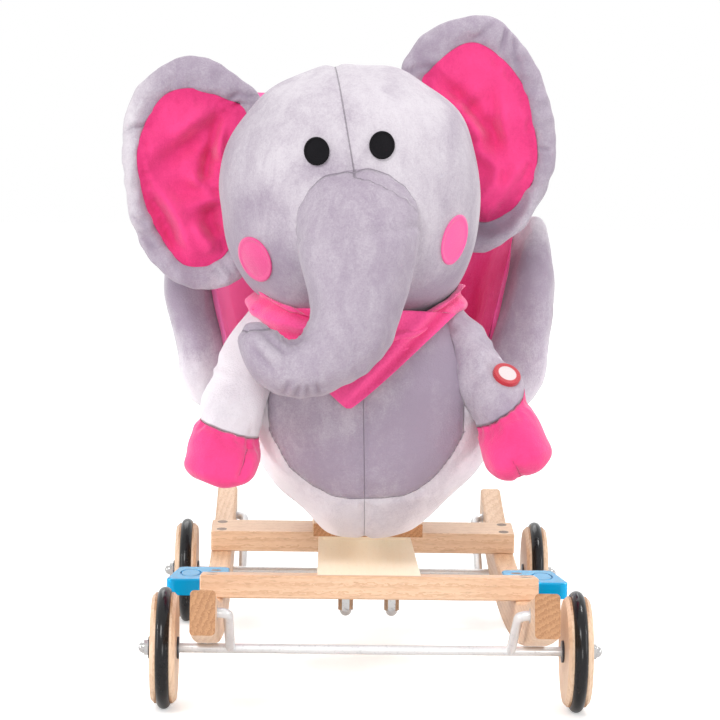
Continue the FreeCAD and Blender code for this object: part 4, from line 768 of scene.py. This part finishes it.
def arm(side):
    """The limb down to the cuff seam in grey, and the paw beyond it in pink, each closed where they meet.
    The paw has a short finger stitch, and the right arm's skin is drawn flat under the sound button."""
    rows, seed, shade, stitch = ARMS[side]
    rings = between(rows, 160, 110, 2.2)
    t, a = np.linspace(0, len(rows) - 1, 160)[:, None], turns(110)
    cut = int(round(CUFF / (len(rows) - 1) * 159))
    to_cuff = np.abs(t - CUFF) * 14 + 0 * a
    elbow = 2.0 * np.exp(-((t - 3.1) / 0.5) ** 2) * np.exp(-((a - 3.4) / 1.3) ** 2) * np.abs(np.sin(5 * t))
    stuffing = 1.0 * swell(rings, 34, seed) + 0.5 * swell(rings, 12, seed + 1) * np.exp(-to_cuff / 10)
    rings = pushed(rings, stuffing - 2.6 * np.exp(-(to_cuff / 5) ** 2) - elbow)
    if side == "right":
        from_button = rings - (BUTTON_MIDDLE * 1000 - [SIDE, 0, 0])
        lift = from_button @ BUTTON_OUT
        off = np.linalg.norm(from_button - lift[..., None] * BUTTON_OUT, axis=-1)
        near = (1 - step(off, 10.8, 24)) * (np.abs(lift) < 24)
        rings = rings - BUTTON_OUT * ((lift + 1.2) * near)[..., None]
    upper, paw = rings[:cut + 1], rings[cut:].copy()
    # Painted shade: darker towards the shoulder under the scarf, and a dark line painted where the arm meets the torso,
    # as contact shade.
    tone = (shade + 0.30 * (1 - step(t, 0.0, 2.0)) + 0 * a)[:cut + 1]
    upper = skin(side + "_arm_skin", upper, grey_pile, "grey_plush", [side + "_arm"], seam=to_cuff[:cut + 1],
                 second_seam=off_body(upper), tone=tone)
    way = np.array(stitch[2:]) - stitch[:2]
    x, z = paw[..., 0] - stitch[0], paw[..., 2] - stitch[1]
    along = np.clip((x * way[0] + z * way[1]) / (way @ way), 0, 1)
    gap = np.hypot(x - along * way[0], z - along * way[1]) + NO_SEAM * (paw[..., 1] > -150)
    cuffed = 0.5 * np.exp(-(to_cuff[cut:] / 9) ** 2) * np.sin(14 * a)
    paw = pushed(paw, 0.8 * swell(paw, 24, seed + 7) - 2.6 * np.exp(-(gap / 3.4) ** 2) + cuffed)
    hand = skin(side + "_paw_skin", paw, pink_pile, "pink_plush", seam=np.minimum(to_cuff[cut:], gap),
                tone=np.zeros_like(gap))
    return upper, hand


# ---------------------------------------------------------------- scarf

def body_front(x, z):
    """The torso's front at (x, z), an oval held to its middle share at the sides; above 262 mm it keeps one size."""
    w, d = body_halves(z)
    w, d = np.where(z > 262, 83, w), np.where(z > 262, 66, d)
    return BODY_Y - d * np.sqrt(1 - np.clip(np.abs(x) / w, 0, 0.93) ** 2)


def scarf():
    """A folded kerchief. The band is a wavy profile carried round the neck's oval.
    The flap is a thin closed cloth, a triangle laid down the chest with soft folds."""
    u, v = turns(300)[:, None], turns(64)
    tall, thick = 13.5 + 2.0 * np.sin(2 * u + 1), 5.5 + 1.2 * np.sin(3 * u)
    wave = 3.4 * np.cos(5 * v + 1.2 * np.sin(u) + 0.6 * np.sin(4 * u)) * step(np.cos(v), -0.3, 0.1)
    dip = 20 * np.clip(-np.sin(u), 0, 1) ** 1.6
    level = 286 + 3.0 * np.cos(u) ** 2 - dip
    knot = 3.0 * np.exp(-((76 * np.cos(u) - 12) / 45) ** 2) * (np.sin(u) < 0)
    out = thick * np.cos(v) + wave * 0.8 + 2 * np.sin(v) * np.cos(u) + 0.22 * dip - knot
    band = np.stack([-12.0 + (76 + out) * np.cos(u), -68 + (71 + out) * np.sin(u), level + tall * np.sin(v)], -1)
    band = pushed(band, 0.9 * swell(band, 26, 31))
    # Painted shade in the valleys of the band's waves.
    fold = np.clip(-wave / 5, 0, 1) + 0 * u
    first = skin("scarf_band", band, pink_fleece, "pink_fleece", ["scarf"], ends_join=True, fold=fold)
    down, loop = np.linspace(0, 1, 70)[:, None], turns(180)
    half = 74 * (1 - down) ** 0.92 + 2.0
    across = np.cos(loop) * half
    slim = 1.6 * signed(np.sin(loop), 0.4)
    x, z = -15.0 + across - 3 * down, 289 - 72 * down - 0.0006 * across ** 2
    edge = half - across
    pleat = np.cos(edge / 3.4 + 2 * down) * np.exp(-((edge - 10) / 14) ** 2) * (1 - down) ** 0.5
    front = body_front(x, z) - 5.5 - 2.2 * np.sin(across / 11.0 + 3 * down) * (1 - down) - 3.0 * pleat
    cloth = np.stack([x, front - slim, z], -1)
    # Painted shade in the valleys of the flap's pleats.
    second = skin("scarf_flap", cloth, pink_fleece, "pink_fleece", fold=np.clip(-pleat * 0.6, 0, 1))
    return joined("scarf_cloth", [first, second])


# ---------------------------------------------------------------- seat

FRONT_Y, BACK_Y, CORNER, SEAT_HALF = 6.0, 158.4, 40.0, 126.0


def round_the_seat(count, trim=0.0):
    """The seat wall's middle line from the left wing's front, back along it, across and forwards.
    Returns points, outward normals, how far each is a back point (0 to 1), the way along and its whole length."""
    straight, quarter, inner = BACK_Y - CORNER - FRONT_Y - trim, CORNER * np.pi / 2, SEAT_HALF - CORNER
    total = 2 * straight + 2 * quarter + 2 * inner
    s = np.linspace(0, total, count)
    left, right = straight + quarter, straight + quarter + 2 * inner
    turn = np.interp(s, [0, straight, left, right, total - straight, total], [0, 0, np.pi / 2, np.pi / 2, np.pi, np.pi])
    normal = np.stack([-np.cos(turn), np.sin(turn), 0 * turn], -1)
    core_x = np.interp(s, [left, right], [-inner, inner])
    front, back = FRONT_Y + trim, BACK_Y - CORNER
    core_y = np.interp(s, [0, straight, total - straight, total], [front, back, back, front])
    points = np.stack([SEAT_X + core_x, core_y, 0 * s], -1) + CORNER * normal
    return points, normal, np.sin(turn), s, total


def seat_top(points, back, s, total):
    """Height of the wall: round over the wings' fronts, level along them, up the corner to the backrest.
    The backrest's own corners are round."""
    front = 1 - np.clip(np.minimum(s, total - s) / 42, 0, 1)
    wing = 356 - 60 * (1 - np.sqrt(1 - front ** 2))
    rest = 456 - 26 * step(np.abs(points[:, 0] - SEAT_X), 84, 112) ** 1.5
    return wing + (rest - wing) * step(back, 0.35, 0.92)


def wall_profile(z, back):
    """The wall's shift outwards and half thickness at height z.
    Wings lean out and thin upwards; the back leans 5 degrees and stays even."""
    rise = z - 226
    shift = rise * (0.115 * (1 - back) + 0.0875 * back) - 0.0085 * np.clip(236 - z, 0, 60) ** 2
    half = (25 - 0.105 * np.clip(rise, 0, 120)) * (1 - back) + 18.5 * back
    return shift, half


def seat_wall():
    """The padded wall: at each step of the middle line a loop goes up outside, over the top and down inside.
    It closes round at both wing fronts; low down, the left wing is drawn in and the right one let out a little."""
    points, normal, back, s, total = round_the_seat(230)
    top, low, v = seat_top(points, back, s, total)[:, None], 196.0, turns(120)
    c, q = signed(np.cos(v), 0.55), signed(np.sin(v), 0.72)
    z = (top + low) / 2 + (top - low) / 2 * q
    shift, half = wall_profile(z, back[:, None])
    near = np.clip(np.minimum(s, total - s) / 16, 0.02, 1)[:, None]
    left, right = (step(sign * normal[:, 0], 0.2, 0.9)[:, None] for sign in (-1, 1))
    waist = np.interp(z, [190, 200, 215, 237, 261, 288], [4, 7, 12, 13, 7, 0])
    out = shift + half * c * np.sqrt(1 - (1 - near) ** 2) - left * np.clip(c, 0, 1) * waist
    out = out + 0.0045 * right * np.clip(236 - z, 0, 60) ** 2
    rings = points[:, None] + normal[:, None] * out[..., None]
    rings[..., 2] = z
    rings = pushed(rings, 1.6 * swell(rings, 70, 41) + 0.6 * swell(rings, 24, 42))
    piece = skin("seat_wall", rings, grey_pile, "grey_plush", ["left_wing", "right_wing", "backrest"],
                 seam=0 * z + NO_SEAM, tone=0 * z + 0.1)
    return finish_wall(stuffed(piece, 0.006, 3.0, 0.004))


def finish_wall(piece):
    """After the cloth pass the wall gets its fields back: the seam down the middle of the back, the wing fronts darker,
    the left one paler below, painted light, and the whole wall paler towards its lower edge."""
    x, y, z = points_of(piece).T
    second = np.where(y > 165, x - SEAT_X, NO_SEAM)
    tone = 0.38 + 0.45 * step(-y, -34, -10) - 0.15 * step(x, 60, 140) - 0.32 * step(-z, -250, -200)
    # Painted light: the left wing paler low at its front.
    tone = tone - 0.75 * step(-z, -272, -215) * step(-x, 50, 100) * step(-y, -70, -30)
    return marked(piece, seam=0 * x + 60.0, second_seam=second, tone=tone)


def seat_lining():
    """The pink inside: a quilted layer on the wall's inner face, from the pad to the rim, puckered along its edges."""
    trim, low, v = 12.0, 222.0, turns(110)
    points, normal, back, s, total = round_the_seat(220, trim)
    top = (seat_top(points, back, s + trim, total + 2 * trim) - 13 * (1 - back) - 4 * back)[:, None]
    z = (top + low) / 2 + (top - low) / 2 * signed(np.sin(v), 0.75)
    shift, half = wall_profile(z, back[:, None])
    s, inward = s[:, None], np.minimum(s, total - s)[:, None]
    edge = np.minimum(inward, np.abs(top - z))
    puff = 4.5 * step(edge, 0, 26) + 0.35 * np.sin(s / 4.0) * np.exp(-((edge - 7) / 6) ** 2)
    close, c = np.clip(inward / 6, 0.05, 1), np.cos(v)
    out = shift - half - 3.5 + np.where(c < 0, c * (puff + 2.0), c * 4.0) * close
    rings = points[:, None] + normal[:, None] * out[..., None]
    rings[..., 2] = z
    rings = pushed(rings, 0.9 * swell(rings, 45, 51))
    panels = np.abs(np.abs(rings[..., 0] - SEAT_X) - 74) + 60 * (rings[..., 1] < 120)
    # Tone: the left side painted lit paler, the right painted shaded deeper.
    return skin("seat_lining", rings, seat_pink, "pink_plush", ["back_lining", "wing_linings"],
                seam=np.minimum(edge + 3.0, panels), tone=-0.5 + 1.2 * step(rings[..., 0], -60, 100))


BOWL = [(108.3, 20, 60), (109, 40, 80), (114, 47, 87), (124, 54, 91), (137, 63, 93), (150, 76, 94), (164, 93, 94),
        (180, 115, 94), (197, 131, 92), (212, 136, 90), (222, 136, 88), (228, 131, 84), (230.5, 112, 72),
        (231, 40, 30)]


def seat_bowl():
    """The seat's stuffed underside: rings up from the base board, boxy in plan, widening to the wall."""
    rings = tower(BOWL, 120, 220, 3.2, 0.0, 78)
    x, y, z = rings[..., 0], rings[..., 1], rings[..., 2]
    x += step(z, 108, 215) * SEAT_X + 0.06 * np.clip(-x, 0, 200)
    seam = np.minimum(np.abs(z - 205), np.abs(y - 60) + 99 * (np.abs(x) < 40))
    rings = pushed(rings, 1.4 * swell(rings, 60, 61) - 1.6 * np.exp(-(seam / 3.5) ** 2) + 0.4 * swell(rings, 16, 62))
    # Tone: the front painted lit paler, as painted light.
    tone = -0.10 - 0.45 * step(-rings[..., 1], -75, -25)
    return skin("seat_underside", rings, grey_pile, "grey_plush", ["seat_bowl"], seam=seam, tone=tone)


PAD_Y, PAD_Z = 77.0, 237.5


def seat_pad():
    """The pad: a boxy cushion swollen by the cloth pass, then a channel pressed in across it. A seam runs round it."""
    c, s = oval(160, 4.5)
    t = np.linspace(-np.pi / 2, np.pi / 2, 42)[1:-1, None]
    shrink = np.cos(t) ** 0.45
    height = PAD_Z + 8.5 * signed(np.sin(t), 0.8) + 0 * c
    rings = np.stack([SEAT_X + 94 * shrink * c, PAD_Y + 58 * shrink * s, height], -1)
    piece = skin("seat_cushion", rings, pink_pile, "pink_plush", ["seat_pad"], seam=0 * height + 30, tone=0 * height)
    piece = stuffed(piece, 0.005, 4.0, 0.007)
    p = points_of(piece)
    cross, upper = np.abs(p[:, 1] - PAD_Y), p[:, 2] > PAD_Z + 0.5
    seam = np.minimum(cross + 30 * (p[:, 2] < PAD_Z + 0.5), np.abs(p[:, 2] - PAD_Z))
    p[:, 2] -= 2.6 * np.exp(-(cross / 5) ** 2) * upper
    piece.data.vertices.foreach_set("co", placed(p).reshape(-1))
    return marked(piece, seam=seam, second_seam=0 * seam + NO_SEAM, tone=0 * seam)


NECK = [(196, 30, 20), (199, 48, 26), (215, 54, 30), (240, 50, 29), (262, 44, 26), (284, 42, 25), (304, 45, 26),
        (326, 46, 24), (340, 40, 20), (344, 18, 9)]


def neck_sleeve():
    """Plush round the post between the body and the seat: boxy rings that rise from the bowl into the head."""
    rings = tower(NECK, 70, 130, 2.8, -5, -8)
    middle = np.where(rings[..., 1] > 0, np.abs(rings[..., 0] + 5), NO_SEAM)
    rings = pushed(rings, 1.3 * swell(rings, 48, 65) - 1.4 * np.exp(-(middle / 3.5) ** 2) + 0.5 * swell(rings, 15, 66))
    return skin("neck_sleeve", rings, grey_pile, "grey_plush", ["head_post"], seam=middle, tone=0.2 + 0 * middle)


# ---------------------------------------------------------------- build the soft pieces

# name, middle, half sizes, tilt, tone
EYES = (("left_eye_patch", (-43.7, 403.2), (9.2, 10.3), 0.1, 0.0),
        ("right_eye_patch", (3.2, 408.2), (9.3, 10.2), -0.1, 0.0))
# Tone: the left cheek painted shaded deeper, the right one painted lit paler.
CHEEKS = (("left_cheek_patch", (-87.8, 323.5), (11.6, 17.8), 0.42, 0.5),
          ("right_cheek_patch", (58.2, 340.0), (9.6, 19.0), -0.26, -0.5))

body_pieces = [head(), trunk(), torso()]
ears = [ear("left"), ear("right")]
linings = joined("ear_lining_skins", [ear_lining("left"), ear_lining("right")])
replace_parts(linings, "ear_linings")
eyes = joined("eye_patches", [patch(*row, black_thread, "black_felt", 1.5, 58) for row in EYES])
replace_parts(eyes, "eyes")
cheeks = joined("cheek_patches", [patch(*row, cheek_pile, "pink_plush", 0.9, 90) for row in CHEEKS])
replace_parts(cheeks, "cheeks")
(left_upper, left_hand), (right_upper, right_hand) = arm("left"), arm("right")
hands = joined("paw_skins", [left_hand, right_hand])
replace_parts(hands, "paws")
neck_scarf = scarf()
wall, lining, bowl, pad, sleeve = seat_wall(), seat_lining(), seat_bowl(), seat_pad(), neck_sleeve()


# ---------------------------------------------------------------- finishes of the CAD nodes

def riser_wood():
    """The risers: the front one lacquered cream like the board that it stands on, the rear one bare beech.
    The change lies between them."""
    def blend(cream, bare):
        def made(b):
            y = b.node("ShaderNodeSeparateXYZ", None, b.place, out="Y")
            return b.mixed(y.ramp(0.08, 0.10), cream, bare)
        return made
    pale, deep = blend((0.97, 0.85, 0.68), (0.83, 0.57, 0.38)), blend((0.95, 0.80, 0.61), (0.64, 0.38, 0.22))
    return timber("riser_wood", pale, deep, 0, 0.36, 0.12, 1.0, 0.1, ringed=0.15)


def button_cloth():
    """The button: a red rim round a white middle, both woven; the share is the distance from the button's own axis."""
    b = Board("button_cloth", roughness=0.6, Sheen_Weight=0.2)
    off = b.node("ShaderNodeVectorMath", {"operation": "SUBTRACT"}, b.place, tuple(BUTTON_MIDDLE))
    along = b.node("ShaderNodeVectorMath", {"operation": "DOT_PRODUCT"}, off, tuple(BUTTON_OUT), out="Value")
    length = b.node("ShaderNodeVectorMath", {"operation": "LENGTH"}, off, out="Value")
    off_axis = (length * length - along * along).most(0.0) ** 0.5
    rim = (off_axis * 1000).ramp(6.6, 7.2)
    weave = b.node("ShaderNodeTexWave", {"wave_type": "BANDS", "bands_direction": "DIAGONAL"}, Vector=b.place,
                   Scale=420.0, Distortion=0.4)
    colour = b.mixed(rim, (0.80, 0.74, 0.74), (0.55, 0.015, 0.03))
    colour = b.mixed(weave * 0.25, colour, (0.35, 0.05, 0.07))
    return b.paint(colour, None, weave + b.noise(700, 2.0) * 0.6, depth=0.0004, strength=0.6)


def wheels(part):
    """The names of that node at the four wheels."""
    return " ".join(f"{corner}_wheel_{part}" for corner in ("front_left", "front_right", "rear_left", "rear_right"))


FINISH = (
    (timber("beech_long", (0.82, 0.56, 0.37), (0.62, 0.36, 0.20), 1), "left_runner right_runner"),
    (timber("beech_across", (0.83, 0.57, 0.38), (0.64, 0.38, 0.22), 0), "front_crossbar rear_crossbar grab_bar"),
    (timber("beech_disc", (0.86, 0.63, 0.45), (0.70, 0.46, 0.29), 2), wheels("disc")),
    (timber("plywood", (0.72, 0.52, 0.34), (0.50, 0.32, 0.19), 1, 0.6, 0.0, 1.4), "seat_base back_board head_post"),
    (timber("cream_board", (0.97, 0.87, 0.70), (0.95, 0.82, 0.63), 1, 0.34, 0.12, 1.0, 0.08, 0.15), "seat_board"),
    (riser_wood(), "seat_risers"),
    (button_cloth(), "sound_button"),
    (coated("zinc", (0.62, 0.63, 0.65), (0.42, 0.43, 0.46), 0.32, 1.0), "seat_studs"),
    (coated("rod_white", (0.80, 0.80, 0.80), (0.62, 0.62, 0.63), 0.28, 0.35, coat=0.4),
     "front_axle rear_axle front_crank_legs rear_crank_legs"),
    (coated("dark_steel", (0.09, 0.09, 0.10), (0.04, 0.04, 0.045), 0.35, 0.9), "front_axle_washers rear_axle_washers"),
    (coated("bright_nut", (0.62, 0.61, 0.60), (0.36, 0.35, 0.35), 0.10, 1.0),
     "seat_cap_nuts front_axle_nuts rear_axle_nuts"),
    (coated("screw_brown", (0.20, 0.13, 0.09), (0.10, 0.065, 0.05), 0.38, 0.9), "frame_screws"),
    (coated("black_steel", (0.03, 0.03, 0.032), (0.012, 0.012, 0.013), 0.42, 0.3), "footrest_brackets"),
    (coated("tyre_black", (0.012, 0.012, 0.013), (0.005, 0.005, 0.006), 0.15, 0.0, marks=0.2, bump=0.12,
            Specular_IOR_Level=0.30), wheels("tyre")),
    (coated("bush_grey", (0.35, 0.35, 0.36), (0.22, 0.22, 0.23), 0.4), "pivot_bushes " + wheels("bush")),
    (coated("footrest_blue", (0.001, 0.31, 0.60), (0.001, 0.26, 0.54), 0.16, 0.0, marks=0.12, bump=0.06, mottle=0.05,
            Specular_IOR_Level=0.22), "left_footrest right_footrest"),
    (coated("white_plastic", (0.80, 0.79, 0.76), (0.70, 0.69, 0.66), 0.35), "sound_module"),
    (coated("cell_steel", (0.70, 0.70, 0.71), (0.50, 0.50, 0.52), 0.2, 1.0), "batteries"))
for looks, names in FINISH:
    for name in names.split():
        for place in frame["nodes"][name].material_slots:
            place.material = looks


# ---------------------------------------------------------------- floor, light and camera

def floor():
    """A wide pale floor; seen by the camera it adds a little white, so that it stays pale and keeps its shadow."""
    mesh = bpy.data.meshes.new("floor")
    half = 12.0
    mesh.from_pydata([(-half, -half, 0), (half, -half, 0), (half, half, 0), (-half, half, 0)], [], [(0, 1, 2, 3)])
    thing = bpy.data.objects.new("floor", mesh)
    bpy.context.scene.collection.objects.link(thing)
    b = Board("floor_paper", roughness=0.9, Specular_IOR_Level=0.1)
    seen = b.node("ShaderNodeLightPath", out="Is Camera Ray")
    b.paint((0.90, 0.90, 0.90))
    b.shader.inputs["Emission Color"].default_value = (1, 1, 1, 1)
    glow = b.node("ShaderNodeEmission", None, (1, 1, 1, 1), 0.42)
    add, mix = b.tree.nodes.new("ShaderNodeAddShader"), b.tree.nodes.new("ShaderNodeMixShader")
    out = next(n for n in b.tree.nodes if n.type == "OUTPUT_MATERIAL")
    plain = b.shader.outputs[0]
    for source, target in ((plain, add.inputs[0]), (glow.socket, add.inputs[1]), (seen.socket, mix.inputs[0]),
                           (plain, mix.inputs[1]), (add.outputs[0], mix.inputs[2]), (mix.outputs[0], out.inputs[0])):
        b.tree.links.new(source, target)
    mesh.materials.append(b.material)


def lamp(name, place, aim, size, power, spread=180):
    """A square soft lamp that looks at a point, its light held within the spread in degrees."""
    data = bpy.data.lights.new(name, "AREA")
    data.shape, data.size, data.energy, data.spread = "SQUARE", size, power, np.radians(spread)
    thing = bpy.data.objects.new(name, data)
    way = np.array(aim, float) - place
    thing.rotation_euler = Vector(way).to_track_quat("-Z", "Y").to_euler()
    thing.location = place
    bpy.context.scene.collection.objects.link(thing)


def world():
    """White to the camera and in reflections, a softer white as light."""
    w = bpy.data.worlds.new("studio")
    w.use_nodes = True
    tree = w.node_tree
    path = tree.nodes.new("ShaderNodeLightPath")
    seen, more = tree.nodes.new("ShaderNodeMath"), tree.nodes.new("ShaderNodeMath")
    seen.operation = more.operation = "MAXIMUM"
    for source, target in ((path.outputs["Is Camera Ray"], seen.inputs[0]),
                           (path.outputs["Is Glossy Ray"], seen.inputs[1]), (seen.outputs[0], more.inputs[0]),
                           (path.outputs["Is Transmission Ray"], more.inputs[1])):
        tree.links.new(source, target)
    level = tree.nodes.new("ShaderNodeMapRange")
    level.inputs["To Min"].default_value, level.inputs["To Max"].default_value = 0.70, 1.0
    tree.links.new(more.outputs[0], level.inputs["Value"])
    back = next(n for n in tree.nodes if n.type == "BACKGROUND")
    back.inputs["Color"].default_value = (1, 1, 1, 1)
    tree.links.new(level.outputs[0], back.inputs["Strength"])
    bpy.context.scene.world = w


PIXELS, FOCAL_PIXELS = 720, 2567.1   # the photograph's width and focal length in pixels
SENSOR = 36.0                        # the film's width and height in mm


def camera():
    """The photograph's camera: a 128.4 mm lens on a 36 mm square, from its yaw, pitch and roll."""
    yaw, pitch, roll = 0.0216, 0.0802, 0.0143
    ahead = np.array([np.sin(yaw) * np.cos(pitch), np.cos(yaw) * np.cos(pitch), -np.sin(pitch)])
    right = np.array([np.cos(yaw), -np.sin(yaw), 0.0])
    up = np.cross(right, ahead)
    right, up = np.cos(roll) * right + np.sin(roll) * up, -np.sin(roll) * right + np.cos(roll) * up
    data = bpy.data.cameras.new("camera")
    data.sensor_fit, data.sensor_width, data.sensor_height = "HORIZONTAL", SENSOR, SENSOR
    data.lens = FOCAL_PIXELS / PIXELS * SENSOR
    data.clip_start, data.clip_end = 0.05, 50
    thing = bpy.data.objects.new("camera", data)
    turn = np.eye(4)
    turn[:3, 0], turn[:3, 1], turn[:3, 2], turn[:3, 3] = right, up, -ahead, placed((-50.36, -2009.5, 401.87))
    thing.matrix_world = Matrix(turn.tolist())
    bpy.context.scene.collection.objects.link(thing)
    bpy.context.scene.camera = thing


# name, place, aim, size, power, spread in degrees
LAMPS = (("key", (-0.8, -2.0, 1.75), (0, 0, 0.3), 0.9, 26),
         ("front_fill", (0.5, -2.6, 0.30), (0, 0, 0.15), 0.8, 10),
         ("board_left", (-1.0, -0.10, 0.46), (0.0127, -0.03, 0.09), 0.14, 0.12, 20),
         ("board_right", (1.025, -0.10, 0.46), (0.0127, -0.03, 0.09), 0.14, 0.12, 20),
         ("seat_fill", (0.5, 0.05, 1.3), (-0.1, 0.13, 0.3), 0.3, 4),
         ("left_fill", (-2.2, -0.5, 0.5), (0, 0, 0.15), 0.9, 6),
         ("right_fill", (2.2, -0.5, 0.5), (0, 0, 0.15), 0.9, 6),
         ("back", (-0.3, 1.8, 1.8), (0, 0, 0.3), 1.4, 12))

floor()
world()
for row in LAMPS:
    lamp(*row)
camera()
bpy.context.scene.view_settings.view_transform = "Standard"
